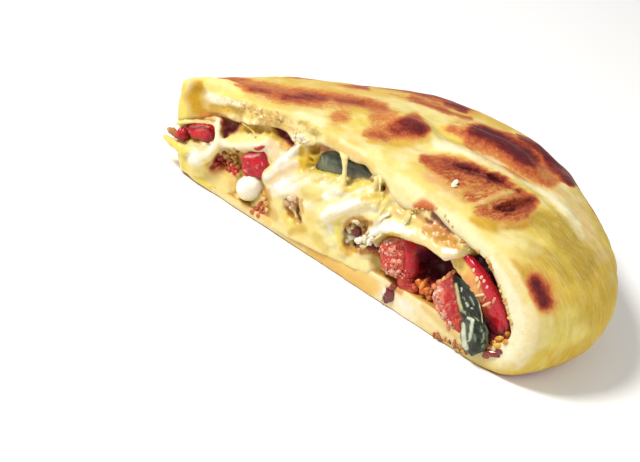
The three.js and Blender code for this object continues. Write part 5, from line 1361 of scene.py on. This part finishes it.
def pepper_piece():
    # outer (skin) edge and inner (flesh) edge of the strip's front, from its top to its lower end
    skin = curve([at(459.5, 246, 1.4), at(468, 256.5, 0.6), at(479, 269, 0.0), at(489, 283.5, -0.3), at(497.5, 298, -0.1), at(504, 312, 0.4), at(508, 325, 1.0), at(507, 335, 2.0)], 110)
    flesh = curve([at(449, 259, 1.2), at(456, 269, 0.6), at(465, 281, 0.3), at(473, 294, 0.5), at(480, 307, 1.0), at(486, 319, 1.8), at(492, 330, 2.4), at(499, 338, 3.0)], 110)
    sides, st, tone, along = 40, [], [], []
    for i in range(110):
        s = i / 109
        a, b = skin[i], flesh[i]
        end = (1 - abs(2 * s - 1) ** 12) ** 0.5
        mid, half = (a + b) / 2, (a - b) / 2 * (0.4 + 0.6 * end)
        thick = (1.3 + 0.4 * math.sin(3 * s)) * (0.3 + 0.7 * end)
        for j in range(sides):
            t = 2 * math.pi * j / sides
            c, w = math.cos(t), math.sin(t)
            k = (abs(c) ** 4.5 + abs(w) ** 4.5) ** (-1 / 4.5)
            st.append(mid + half * c * k + np.array([0, 1.0, 0]) * (thick * w * k + 1.2 + 0.5 * (c * k) * (1 - s) - 0.4 * (c * k) ** 2))
            tone.append(c * k)
            along.append(s)
    v, q, t = sweep(list(np.array(st).reshape(110, sides, 3)), sides)
    tone, s = np.array(tone + [0, 0]), np.array(along + [0, 1])
    q, t = outwards(v, [q, t])
    nz = noise(v, 2.0, 101, 2)
    v = v + 0.14 * np.stack([noise(v, 1.3, 102 + k, 2) for k in range(3)], 1)
    v = v + np.array([0, 1.0, 0]) * (0.35 * noise(v, 2.2, 108, 2) * smooth(0.3, -0.3, tone))[:, None]
    col = np.repeat(lin(240, 206, 104)[None], len(v), 0)
    col = blend(col, smooth(0.16, 0.34, s), lin(232, 160, 84))
    col = blend(col, smooth(0.40, 0.60, s + 0.05 * nz), lin(206, 70, 50))
    col = blend(col, smooth(0.62, 0.78, s + 0.05 * nz), lin(130, 26, 40))
    edge = 0.30 - 0.55 * smooth(0.25, 0.7, s)
    col = blend(col, smooth(edge - 0.05, edge + 0.12, tone + 0.06 * nz), lin(204, 0, 32))
    col = blend(col, smooth(0.80, 0.98, tone) * 0.7, lin(150, 4, 34))
    col = blend(col, smooth(0.80, 0.96, s) * 0.85, lin(110, 20, 44))
    col = blend(col, smooth(0.35, 0.7, noise(v, 1.1, 106, 2)) * 0.45 * smooth(0.3, -0.1, tone) * (1 - smooth(0.6, 0.7, s)), lin(246, 214, 150))
    SHOWN["pepper"] = (v, q)
    o = mesh("pepper_strip_piece", v, [q, t], {}, col, food("pepper_look", 1.3, 0.06, 0.14, 0.12, (1.0, 0.25, 0.12), tuple(lin(214, 50, 34) * EXPOSE), 0.08, 0.12, 0.6, specular=0.36))
    place(o, "tomato", "pepper_strip")


def leaf(spine, edge_a, edge_b, thick, seed, dark, light, rim, pale, dips, wave=0.16):
    """A leaf from its midrib and two edges; dips raises the sides or bows the leaf in depth."""
    n, m = 80, 19
    c, a, b = curve(spine, n), curve(edge_a, n), curve(edge_b, n)
    front, tone, vein = [], [], []
    for i in range(n):
        s = i / (n - 1)
        for j in range(m):
            t = -1 + 2 * j / (m - 1)
            side = a[i] if t < 0 else b[i]
            p = c[i] + (side - c[i]) * abs(t)
            p = p + np.array([0, 1.0, 0]) * (dips * t * t + wave * math.cos(9 * s * math.pi - abs(t) * 4.5) * abs(t) ** 0.7 * math.sin(math.pi * s) + 0.25 * (abs(t) < 0.1))
            front.append(p)
            tone.append(t)
            vein.append(max(0.0, 1 - abs((s * 7 + abs(t) * 1.3) % 1 - 0.5) * 9) * (1 - 0.6 * abs(t)) + (1.2 if abs(t) < 0.08 else 0))
    front = np.array(front)
    v = np.concatenate([front, front + np.array([0, thick, 0])])
    i, j = np.meshgrid(np.arange(n - 1), np.arange(m - 1), indexing="ij")
    a0 = (i * m + j).ravel()
    top = np.stack([a0, a0 + 1, a0 + m + 1, a0 + m], 1)
    ring = list(range(0, m)) + [k * m + m - 1 for k in range(1, n)] + [(n - 1) * m + k for k in range(m - 2, -1, -1)] + [k * m for k in range(n - 2, 0, -1)]
    rims = [(p, p + n * m, r + n * m, r) for p, r in zip(ring, ring[1:] + ring[:1])]
    q = outwards(v, [np.concatenate([top, top[:, ::-1] + n * m, np.array(rims)])])[0]
    v = v + 0.14 * np.stack([noise(v, 2.2, seed + k, 2) for k in range(3)], 1)
    tone, vein = np.tile(tone, 2), np.tile(vein, 2)
    t = clamp01(0.5 + 0.6 * noise(v, 1.8, seed + 5, 3))[:, None]
    col = dark * (1 - t) + light * t
    col = blend(col, vein * 0.25, light * 1.6)
    col = blend(col, smooth(0.88, 1.0, np.abs(tone)) * 0.7, rim)
    return v, q, painted(v, normals(v, q), col, pale, 0.4, seed + 9)


def leaves():
    silver, grey = lin(214, 222, 190), lin(150, 160, 128)
    upper = leaf(
        [at(456, 276, 1.0), at(463, 289, 0.0), at(470, 302, -0.9), at(477, 316, -1.8), at(480, 329, -1.9)],
        [at(454, 277, 1.2), at(456.5, 290, 0.4), at(458.5, 302, -0.2), at(462, 313, -0.9), at(468, 327, -1.2)],
        [at(458, 276, 1.2), at(468.5, 283.5, 0.6), at(477.5, 296, 0.0), at(482.5, 311, -0.6), at(484.5, 328, -1.2)],
        0.5, 111, lin(10, 12, 14), lin(40, 40, 32), lin(104, 106, 74), [
            (lin(216, 196, 140), 0.95, 0.5, (456, 284, 1.2), (457, 292, 1.4), (459, 301, 1.4), (461, 308, 1.2)), (lin(226, 220, 160), 0.95, 0.5, (474, 291, 0.8), (479, 301, 1.0), (482, 312, 1.1), (483, 322, 1)),
            # the silver and grey spots are painted glints
            (silver, 0.9, 0.5, (461, 288, 0.8), (461.5, 291, 0.6)), (silver, 0.9, 0.5, (466, 303, 1.0), (468, 306, 0.8)), (grey, 0.9, 0.5, (470, 297, 0.8), (474, 305, 0.8)), (silver, 0.9, 0.5, (472, 308, 1.0)),
            (grey, 0.8, 0.5, (463, 297, 0.7), (465, 300, 0.7)), (lin(170, 176, 120), 0.9, 0.5, (460, 309, 1.2), (468, 315, 1.2), (478, 321, 1.2))], -0.9)
    lower = leaf(
        [at(468, 312, -1.9), at(471, 324, -3.2), at(472, 339, -3.6), at(471, 351, -2.8), at(471, 356, -1.8)],
        [at(460.5, 310, -0.9), at(459.5, 323, -1.6), at(458.5, 338, -2.0), at(461.5, 350, -2.0), at(469, 355.5, -1.5)],
        [at(473, 315, -1.6), at(483, 325, -1.6), at(486, 338, -1.9), at(483, 350, -2.0), at(473, 355.5, -1.5)],
        0.6, 131, lin(16, 26, 18), lin(52, 64, 42), lin(110, 122, 80), [
            # the silver strokes are the painted glossy highlight of the lower fold; the grey ones are painted glints
            (silver, 1.0, 0.6, (463, 324, 1.6), (463, 334, 2.4), (464, 343, 3.0), (466, 348, 2)), (silver, 0.95, 0.5, (468, 318, 1.4), (472, 320, 1.6), (471, 330, 1.8), (469, 340, 1.6)),
            (lin(30, 40, 32), 1.0, 0.5, (468, 324, 1.0), (467, 332, 1.2), (468, 340, 1.0)), (lin(36, 44, 34), 0.9, 0.7, (477, 330, 3), (478, 342, 4), (474, 351, 3)), (grey, 0.9, 0.5, (481, 327, 0.9), (484, 337, 1.0), (482, 347, 0.9)),
            (lin(30, 34, 30), 0.9, 0.6, (461, 351, 2), (468, 355, 2)), (grey, 0.7, 0.5, (474, 335, 1.2), (475, 341, 1))], 0.9, 0.3)
    look = food("basil_fold_look", 0.8, 0.09, 0.14, 0.04, (0.3, 1.0, 0.2), tuple(lin(60, 70, 46) * EXPOSE), 0.08, 0.06, 0.6, specular=0.3)
    v = np.concatenate([upper[0], lower[0]])
    q = np.concatenate([upper[1], lower[1] + len(upper[0])])
    place(mesh("basil_leaf_fold", v, q, {}, np.concatenate([upper[2], lower[2]]), look), "basil", "basil_fold")
    v, q, col = leaf(
        [at(309, 163, 3.6), at(325, 160, 3.0), at(342, 164, 2.7), at(358, 169, 2.7), at(376, 180, 3.2)],
        [at(311, 161, 4.0), at(319, 150, 4.6), at(337, 143, 4.8), at(357, 150, 4.6), at(378, 172, 3.8)],
        [at(310, 169, 3.6), at(327, 178, 2.6), at(342, 182, 2.4), at(358, 186, 2.4), at(376, 187, 2.8)],
        0.5, 121, lin(62, 68, 56), lin(104, 106, 88), lin(130, 130, 100), [
            (lin(176, 92, 90), 0.8, 0.8, (318, 150, 4), (326, 147, 4)), (lin(132, 132, 96), 0.7, 0.8, (322, 166, 4), (332, 170, 3)), (lin(150, 136, 106), 0.8, 0.8, (350, 178, 3), (362, 179, 3), (372, 181, 3)),
            (lin(140, 142, 112), 0.8, 0.5, (322, 156, 0.8), (323, 163, 0.8)), (lin(140, 142, 112), 0.8, 0.5, (327, 158, 0.8), (326, 164, 0.8)), (lin(40, 44, 38), 0.8, 0.6, (338, 158, 1.4), (341, 168, 1.4)),
            # the last, dark stroke along the upper edge is painted shadow
            (lin(130, 136, 108), 0.7, 0.5, (352, 164, 0.8), (362, 166, 0.8)), (lin(48, 52, 42), 0.7, 0.7, (350, 160, 2), (360, 162, 2), (368, 169, 2))], 0.4)
    place(mesh("basil_leaf_top", v, q, {}, col, food("basil_top_look", 0.8, 0.07, 0.30, 0.05, (0.3, 1.0, 0.2), tuple(lin(96, 110, 70) * EXPOSE), 0.12, 0.05, 0.6, specular=0.25)), "basil", "basil_top")


# ------------------------------------------------------------------ crumbs, bits and grains
def ball(level):
    t = (1 + math.sqrt(5)) / 2
    v = [(-1, t, 0), (1, t, 0), (-1, -t, 0), (1, -t, 0), (0, -1, t), (0, 1, t), (0, -1, -t), (0, 1, -t), (t, 0, -1), (t, 0, 1), (-t, 0, -1), (-t, 0, 1)]
    v = [np.array(p) / np.linalg.norm(p) for p in v]
    f = [(0, 11, 5), (0, 5, 1), (0, 1, 7), (0, 7, 10), (0, 10, 11), (1, 5, 9), (5, 11, 4), (11, 10, 2), (10, 7, 6), (7, 1, 8),
         (3, 9, 4), (3, 4, 2), (3, 2, 6), (3, 6, 8), (3, 8, 9), (4, 9, 5), (2, 4, 11), (6, 2, 10), (8, 6, 7), (9, 8, 1)]
    for _ in range(level):
        mid, out = {}, []
        for a, b, c in f:
            m = []
            for i, j in ((a, b), (b, c), (c, a)):
                k = (min(i, j), max(i, j))
                if k not in mid:
                    p = v[i] + v[j]
                    mid[k] = len(v)
                    v.append(p / np.linalg.norm(p))
                m.append(mid[k])
            out += [(a, m[0], m[2]), (b, m[1], m[0]), (c, m[2], m[1]), tuple(m)]
        f = out
    return np.array(v), np.array(f)


SEEN = []


def look_up():
    for v, q in SHOWN.values():
        n = normals(v, q)
        U, V, facing = seen(v, n)
        k = facing > 0.08
        SEEN.append(np.stack([U[k], V[k], (v[k] @ BACK), *v[k].T, *n[k].T], 1))
    SEEN[:] = [np.concatenate(SEEN)]


def touch(u, v):
    """The nearest shown surface at a picture position, and the normal there."""
    a = SEEN[0]
    k = a[(np.abs(a[:, 0] - u) < 1.6) & (np.abs(a[:, 1] - v) < 1.6)]
    if not len(k):
        return at(u, v, 1.0), BACK
    k = k[k[:, 2] > k[:, 2].max() - 1.0]
    p, n = k[:, 3:6].mean(0), k[:, 6:9].mean(0)
    p = p + BACK * ((k[:, 2].max() - p @ BACK) * 0.5)
    n = n / np.linalg.norm(n) + 0.8 * BACK
    return p, n / np.linalg.norm(n)


def bits(name, look, items, rough=0.26, level=2, seed=400):
    """One mesh of uneven grains: (u, v, half width, half height, half depth in mm, lift, turn in degrees, colour[, depth])."""
    unit, tri = ball(level)
    vs, fs, cs = [], [], []
    for i, (u, v, rx, ry, rz, lift, turn, colour, *depth) in enumerate(items):
        p, n = (at(u, v, depth[0]), BACK) if depth else touch(u, v)
        t1 = RIGHT - n * (RIGHT @ n)
        t1 = t1 / np.linalg.norm(t1)
        t2 = np.cross(n, t1)
        c, w = math.cos(math.radians(turn)), math.sin(math.radians(turn))
        t1, t2 = t1 * c + t2 * w, t2 * c - t1 * w
        r = 1 + rough * noise(unit + 5.3 * i, 1.1, seed, 1) + 0.45 * rough * noise(unit + 5.3 * i, 0.5, seed + 1, 1)
        b = unit * r[:, None]
        w_ = p + n * lift + b[:, :1] * t1 * rx + b[:, 1:2] * t2 * ry + b[:, 2:] * n * rz
        w_[:, 2] = np.maximum(w_[:, 2], 0.0)
        fs.append(tri + len(unit) * i)
        vs.append(w_)
        t = clamp01(0.5 + 0.5 * noise(unit + 3.1 * i, 0.8, seed + 2, 1))[:, None]
        cs.append(colour * (0.86 + 0.28 * t))
    o = mesh(name, np.concatenate(vs), [np.concatenate(fs)], {}, np.concatenate(cs), look)
    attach(o, "root")
    return o


def strewn(count, r, region, colours, seed, lift=0.1):
    """Random grains inside strokes (u, v, radius) of the picture."""
    rng = np.random.default_rng(seed)
    out = []
    while len(out) < count:
        i = rng.integers(0, max(1, len(region) - 1))
        a, b = region[i], region[min(i + 1, len(region) - 1)]
        t, ang, d = rng.random(), rng.random() * 6.283, math.sqrt(rng.random())
        rad = (a[2] + (b[2] - a[2]) * t) * d
        size = r[0] + (r[1] - r[0]) * rng.random() ** 1.5
        out.append((a[0] + (b[0] - a[0]) * t + rad * math.cos(ang), a[1] + (b[1] - a[1]) * t + rad * math.sin(ang),
                    size * (0.8 + 0.6 * rng.random()), size * (0.7 + 0.5 * rng.random()), size * 0.8, lift, 360 * rng.random(), colours[rng.integers(0, len(colours))]))
    return out


def little_things():
    look_up()
    meat = food("meat_look", 0.5, 0.22, 0.42, 0.06, (1.0, 0.5, 0.25), tuple(lin(236, 190, 110) * EXPOSE), 0.25, 0.0, 0.8, specular=0.3)
    ochre, rust, sand, cocoa = lin(222, 164, 76), lin(198, 112, 48), lin(238, 204, 130), lin(150, 84, 44)
    bits("meat_crumbs", meat, [
        (172.5, 131.5, 1.5, 1.6, 1.2, 0, 10, lin(184, 104, 44), 1.4), (169.5, 129.5, 0.8, 0.9, 0.8, 0, 40, lin(214, 150, 70), 1.6), (175.5, 134.5, 1.0, 1.1, 1.0, 0, 0, lin(176, 80, 40), 1.2),
        (226, 155, 0.9, 0.7, 0.7, 0.3, 10, ochre), (230, 153, 0.7, 0.6, 0.6, 0.3, 50, sand), (234.5, 156, 1.0, 0.8, 0.8, 0.4, 20, ochre), (229.5, 160, 0.8, 0.8, 0.7, 0.4, 80, rust), (236, 161.5, 0.9, 0.8, 0.8, 0.5, 30, ochre),
        (232, 165, 0.8, 0.7, 0.7, 0.3, 60, sand), (238, 167.5, 0.9, 0.9, 0.8, 0.5, 0, rust), (238.5, 174.5, 0.8, 0.6, 0.7, 0.3, 20, ochre), (237, 152, 0.6, 0.6, 0.5, 0.3, 0, cocoa), (233, 149.5, 0.6, 0.5, 0.5, 0.2, 0, ochre),
        (264, 199, 0.8, 0.7, 0.6, 0.2, 30, sand), (266.5, 204, 0.9, 0.8, 0.6, 0.2, 10, ochre), (262, 207.5, 0.8, 0.6, 0.6, 0.2, 70, rust), (267, 210, 0.6, 0.7, 0.5, 0.2, 0, sand), (261, 196, 0.5, 0.6, 0.4, 0.1, 0, ochre),
    ] + strewn(26, (0.3, 0.6), [(226, 154, 4), (232, 158, 6), (235, 168, 5)], [ochre, sand, rust, cocoa], 21, 0.2), rough=0.34)
    red = food("red_bits_look", 0.7, 0.14, 0.17, 0.08, (1.0, 0.2, 0.1), tuple(lin(216, 60, 40) * EXPOSE), 0.12, 0.12, 0.8, specular=0.32)
    crimson, brick, dark = lin(196, 14, 36), lin(190, 54, 38), lin(116, 26, 38)
    bits("red_bits", red, [
        (231, 164, 1.0, 0.8, 0.8, 0.3, 20, crimson), (234.5, 169.5, 1.1, 1.0, 0.9, 0.4, 60, lin(200, 30, 40)), (229, 169.5, 0.9, 0.8, 0.7, 0.2, 10, brick), (236, 173, 0.9, 0.8, 0.7, 0.3, 0, crimson),
        (216, 163.5, 1.2, 0.9, 0.8, 0.1, 20, brick), (221, 158.5, 1.1, 1.0, 0.8, 0.1, 50, lin(160, 40, 44)), (225.5, 163, 1.0, 0.9, 0.8, 0.1, 0, brick), (219, 167, 0.8, 0.7, 0.6, 0.1, 0, lin(210, 90, 50)),
        (256, 208.5, 1.4, 1.0, 0.7, -0.2, 20, lin(190, 84, 50)), (260.5, 205, 1.2, 0.9, 0.6, -0.2, 60, lin(180, 70, 44)), (253, 212, 1.0, 0.8, 0.6, -0.2, 0, lin(206, 110, 60)), (262, 212, 1.1, 0.9, 0.6, -0.2, 0, lin(184, 80, 50)), (258, 215.5, 1.0, 0.7, 0.5, -0.2, 0, lin(200, 100, 54)),
        (261, 148, 1.2, 0.5, 0.5, 0.1, 30, lin(170, 30, 44)), (256.5, 150, 0.9, 0.5, 0.5, 0.1, 20, lin(190, 50, 50)),
        (371.5, 247, 1.5, 1.1, 0.9, 0.1, 10, lin(110, 36, 44)), (376, 250, 0.9, 0.9, 0.7, 0.1, 0, lin(128, 40, 40)), (357, 232, 1.0, 1.5, 0.7, 0.1, 0, lin(126, 46, 48)), (358, 243, 0.9, 1.5, 0.7, 0.1, 10, dark), (353, 232, 0.7, 0.8, 0.6, 0, 0, lin(170, 90, 50)),
    ] + strewn(16, (0.3, 0.55), [(402, 262, 3), (404, 276, 4), (412, 286, 5)], [lin(214, 70, 44), lin(196, 20, 34)], 22), rough=0.3)
    bits("sauce_drops", food("sauce_drops_look", 1.2, 0.05, 0.12, 0.06, (1.0, 0.2, 0.1), tuple(lin(180, 60, 40) * EXPOSE), 0.12, 0.3, 0.5, specular=0.4), [
        (389.5, 293.5, 2.1, 2.6, 1.0, 0.0, -20, lin(112, 36, 30)), (393, 287, 1.2, 1.1, 0.8, 0.1, 0, lin(140, 54, 36)), (385, 300, 0.9, 1.0, 0.6, 0.0, 0, lin(96, 30, 30)),
        (492, 354, 3.0, 1.0, 0.7, -0.1, -6, lin(138, 46, 34)), (499, 351.5, 1.3, 0.9, 0.7, 0.0, 0, lin(116, 34, 34)), (486, 356.5, 1.2, 0.7, 0.5, 0.0, 0, lin(176, 84, 44)),
    ], rough=0.22, level=3)
    cream = food("cream_bits_look", 0.9, 0.10, 0.24, 0.25, (1.0, 0.7, 0.35), tuple(lin(236, 200, 110) * EXPOSE), 0.12, 0.1, 0.5, specular=0.36)
    pale, milk = lin(248, 234, 196), lin(254, 248, 226)
    bits("cream_bits_and_highlight_chips", cream, [
        (356, 222, 1.3, 1.1, 0.9, 0.2, 0, pale), (353, 226.5, 0.9, 0.8, 0.7, 0.2, 40, lin(240, 210, 150)), (349.5, 230, 0.9, 1.1, 0.7, 0.2, 20, pale), (351, 237, 1.2, 0.9, 0.8, 0.3, 10, milk), (347.5, 241, 0.8, 0.7, 0.6, 0.1, 0, pale),
        (359.5, 240, 1.2, 1.1, 0.9, 0.5, 30, milk), (365.5, 238, 0.9, 1.2, 0.8, 0.5, 0, pale), (368.5, 242.5, 1.2, 0.9, 0.8, 0.4, 50, milk), (361.5, 245.5, 0.9, 0.8, 0.6, 0.3, 0, pale), (372, 239, 0.7, 0.8, 0.6, 0.3, 0, pale), (364, 229, 0.5, 0.6, 0.5, 0.1, 0, lin(226, 180, 110)),
        (290, 199.5, 1.1, 0.9, 0.6, 0.1, 0, lin(240, 214, 190)), (294.5, 198, 0.8, 0.8, 0.6, 0.1, 0, lin(226, 180, 150)), (288, 203.5, 0.9, 0.9, 0.6, 0.1, 0, lin(232, 190, 150)), (293, 204.5, 0.8, 0.9, 0.6, 0.2, 0, lin(214, 160, 120)), (290.5, 208, 0.8, 0.8, 0.6, 0.1, 0, lin(232, 196, 150)),
        # these two pale chips are painted highlights on the dark sauce drop beside them
        (384, 291, 0.6, 1.4, 0.35, 0.75, -14, lin(255, 236, 222)), (381.5, 297, 0.5, 0.9, 0.3, 0.4, -10, lin(250, 226, 200)),
    ] + strewn(12, (0.25, 0.45), [(352, 222, 3), (350, 234, 3), (362, 243, 4)], [pale, milk, lin(226, 180, 100)], 23, 0.2), rough=0.36)
    orange, peach = lin(226, 118, 38), lin(244, 178, 88)
    bits("orange_bits", food("orange_bits_look", 0.7, 0.12, 0.2, 0.15, (1.0, 0.5, 0.2), tuple(lin(240, 180, 80) * EXPOSE), 0.15, 0.1, 0.7, specular=0.32), [
        (418, 281.5, 1.0, 0.9, 0.8, 0.1, 0, orange), (422.5, 286, 1.3, 1.0, 0.9, 0.2, 40, lin(232, 136, 48)), (426.5, 291, 1.1, 1.0, 0.8, 0.2, 20, orange), (421, 292.5, 0.9, 0.8, 0.7, 0.1, 0, lin(214, 90, 36)), (428.5, 297, 0.9, 0.9, 0.7, 0.1, 0, lin(220, 110, 50)), (415, 288, 0.9, 0.8, 0.6, 0.1, 0, lin(204, 70, 36)),
        (500, 338, 1.6, 1.0, 0.9, 0.2, 20, lin(234, 172, 60)), (493.5, 342.5, 1.3, 0.9, 0.8, 0.2, 10, peach), (505.5, 340.5, 1.0, 1.0, 0.8, 0.1, 0, lin(226, 160, 52)), (497.5, 346, 1.4, 0.8, 0.7, 0.1, 0, lin(238, 190, 90)), (489, 346.5, 0.9, 0.8, 0.6, 0.1, 0, lin(214, 130, 50)), (508, 333.5, 0.8, 0.9, 0.7, 0.1, 0, lin(222, 150, 60)),
        (430, 291, 0.9, 0.9, 0.8, 0.2, 0, lin(232, 150, 104)), (434, 286, 0.9, 0.8, 0.8, 0.3, 0, lin(222, 120, 84)), (439, 281.5, 1.0, 0.8, 0.7, 0.3, 30, lin(230, 150, 110)), (444, 278, 1.0, 0.7, 0.7, 0.3, 30, lin(240, 176, 130)), (449, 275, 1.0, 0.7, 0.7, 0.3, 30, lin(226, 130, 90)), (453, 272, 0.8, 0.6, 0.6, 0.3, 30, lin(238, 180, 120)),
    ], rough=0.3)
    flesh = [lin(248, 206, 180), lin(240, 160, 130), lin(228, 110, 86), lin(214, 50, 44), lin(244, 186, 150)]
    bits("pulp_grains", food("pulp_grains_look", 0.5, 0.10, 0.14, 0.12, (1.0, 0.3, 0.15), tuple(lin(236, 130, 100) * EXPOSE), 0.12, 0.12, 0.5, specular=0.4),
         strewn(110, (0.26, 0.75), [(382, 250, 5), (391, 245, 7), (394, 257, 9), (388, 267, 7), (396, 275, 5)], flesh, 31, -0.16)
         + strewn(54, (0.26, 0.7), [(437, 287, 4), (436, 298, 5), (440, 310, 4), (446, 320, 3.4), (451, 328, 2.6)], flesh, 32, -0.14)
         + strewn(16, (0.25, 0.4), [(403, 268, 3), (404, 280, 4)], flesh[2:], 33, 0.05), rough=0.4, level=1)
    bits("seeds", food("seed_look", 0.6, 0.05, 0.2, 0.2, (1.0, 0.7, 0.4), tuple(lin(240, 200, 120) * EXPOSE), 0.1, 0.1, 0.5, specular=0.4), [
        (473.5, 270, 0.5, 0.65, 0.3, 0.1, -30, lin(250, 220, 180)), (481, 277.5, 0.45, 0.6, 0.3, 0.1, -30, lin(246, 190, 160)), (484, 281.5, 0.4, 0.5, 0.3, 0.1, -30, lin(250, 210, 180)), (477, 279, 0.5, 0.8, 0.3, 0.1, -10, lin(246, 214, 160)),
        (487, 287, 0.35, 0.5, 0.25, 0.1, -30, lin(246, 190, 170)), (480.5, 294.5, 1.5, 0.42, 0.35, 0.2, 14, lin(248, 216, 160)), (487.5, 303.5, 1.9, 0.42, 0.35, 0.2, 28, lin(246, 200, 140)), (479, 285, 0.5, 1.4, 0.3, 0.1, -6, lin(240, 190, 130)), (484.5, 298, 1.2, 0.4, 0.3, 0.1, 60, lin(226, 130, 90)),
        (494, 300, 0.4, 1.2, 0.3, 0.1, -25, lin(240, 150, 120)),
    ], rough=0.2)
    crumb = food("crumb_look", 0.6, 0.16, 0.6, 0.10, (1.0, 0.7, 0.35), tuple(lin(240, 214, 150) * EXPOSE), 0.2, 0.0, 0.8, specular=0.15)
    snow, tan, burnt = lin(253, 246, 224), lin(228, 180, 104), lin(126, 52, 36)
    rim = [(445, 215, 2), (452, 228, 2), (461, 240, 1.6), (470, 250, 1.6), (483, 254, 1.6), (489, 264, 1.6), (496, 279, 1.6), (502, 294, 1.6), (506, 308, 1.6), (511, 322, 1.6), (511, 335, 1.6)]
    bits("dough_crumbs", crumb,
         strewn(22, (0.3, 0.7), [(291, 134, 3), (299, 138, 4), (308, 140, 2)], [snow, lin(250, 240, 204), lin(244, 226, 172)], 41, -0.12)
         + strewn(30, (0.25, 0.6), [(242, 106, 5), (256, 112, 6), (270, 116, 6), (284, 121, 4)], [lin(238, 210, 136), lin(246, 228, 176), tan], 42, -0.14)
         + strewn(40, (0.28, 0.6), rim, [lin(244, 224, 160), tan, lin(206, 130, 66), lin(236, 200, 120)], 43, 0.05)
         + strewn(10, (0.3, 0.5), [(412, 212, 2), (426, 208, 2), (438, 209, 2)], [lin(206, 110, 60), tan], 44, 0.05)
         + [(455, 182, 0.6, 1.7, 0.25, 0.25, -40, snow), (453.5, 186, 0.8, 0.6, 0.2, 0.2, 0, snow), (408, 217, 0.9, 1.7, 0.3, 0.3, -20, lin(242, 226, 150)), (405.5, 222, 0.7, 0.8, 0.3, 0.2, 0, lin(250, 240, 190)),
            (410, 212.5, 0.9, 0.6, 0.3, 0.2, 0, lin(234, 196, 90))]
         + strewn(22, (0.4, 0.9), [(430, 330, 1.6), (443, 338, 2.4), (455, 345, 2.4), (466, 352, 2)], [lin(160, 70, 44), lin(184, 96, 52), lin(214, 150, 76), lin(132, 52, 38)], 45, 0.0), rough=0.42)


cheese_piece()
red_piece()
lumps()
pepper_piece()
leaves()
little_things()

# ------------------------------------------------------------------ stage
def stage():
    m = bpy.data.meshes.new("floor")
    s = 4.0
    m.from_pydata([(-s, -s, 0), (s, -s, 0), (s, s, 0), (-s, s, 0)], [], [(0, 1, 2, 3)])
    floor = bpy.data.objects.new("floor", m)
    bpy.context.scene.collection.objects.link(floor)
    n = Nodes("floor_look")
    n.set(Base_Color=n.mix(n.noise(60.0), (0.86, 0.86, 0.85), (0.89, 0.885, 0.88)), Roughness=0.7, Specular_IOR_Level=0.2)
    m.materials.append(n.material)

    def lamp(name, towards, distance, size, power, colour=(1, 1, 1)):
        d = bpy.data.lights.new(name, "AREA")
        d.shape = "DISK"
        d.size = size
        d.energy = power
        d.color = colour
        o = bpy.data.objects.new(name, d)
        v = Vector(towards).normalized()
        o.location = v * distance + Vector((0, 0, 0.02))
        o.rotation_mode = "QUATERNION"
        o.rotation_quaternion = v.to_track_quat("Z", "Y")
        bpy.context.scene.collection.objects.link(o)

    key = UP * 0.75 - RIGHT * 0.38 + BACK * 0.55
    lamp("key", key, 0.9, 0.30, 9.1, (1.0, 0.985, 0.96))
    lamp("fill", BACK * 0.8 + RIGHT * 0.5 + UP * 0.1, 1.2, 0.8, 3.6)
    lamp("side", RIGHT * 1.0 + BACK * 0.35 - UP * 0.1, 1.2, 0.8, 2.4)
    w = bpy.data.worlds.new("room")
    w.use_nodes = True
    w.node_tree.nodes["Background"].inputs[0].default_value = (1.0, 1.0, 1.0, 1.0)
    w.node_tree.nodes["Background"].inputs[1].default_value = 0.38
    bpy.context.scene.world = w
    bpy.context.scene.view_settings.view_transform = "Standard"


def camera():
    d = -BACK + RIGHT * (320 - CX) / FOCAL - UP * (231 - CY) / FOCAL
    d /= np.linalg.norm(d)
    up = UP - d * (UP @ d)
    up /= np.linalg.norm(up)
    right = np.cross(d, up)
    c = bpy.data.cameras.new("camera")
    c.sensor_width = 36.0
    c.lens = FOCAL * 36.0 / 640.0
    c.clip_start, c.clip_end = 0.05, 20.0
    o = bpy.data.objects.new("camera", c)
    o.matrix_world = Matrix(np.concatenate([np.stack([right, up, -d, (CAMERA + SHIFT) * 0.001], 1), [[0, 0, 0, 1]]]).tolist())
    bpy.context.scene.collection.objects.link(o)
    bpy.context.scene.camera = o


stage()
camera()
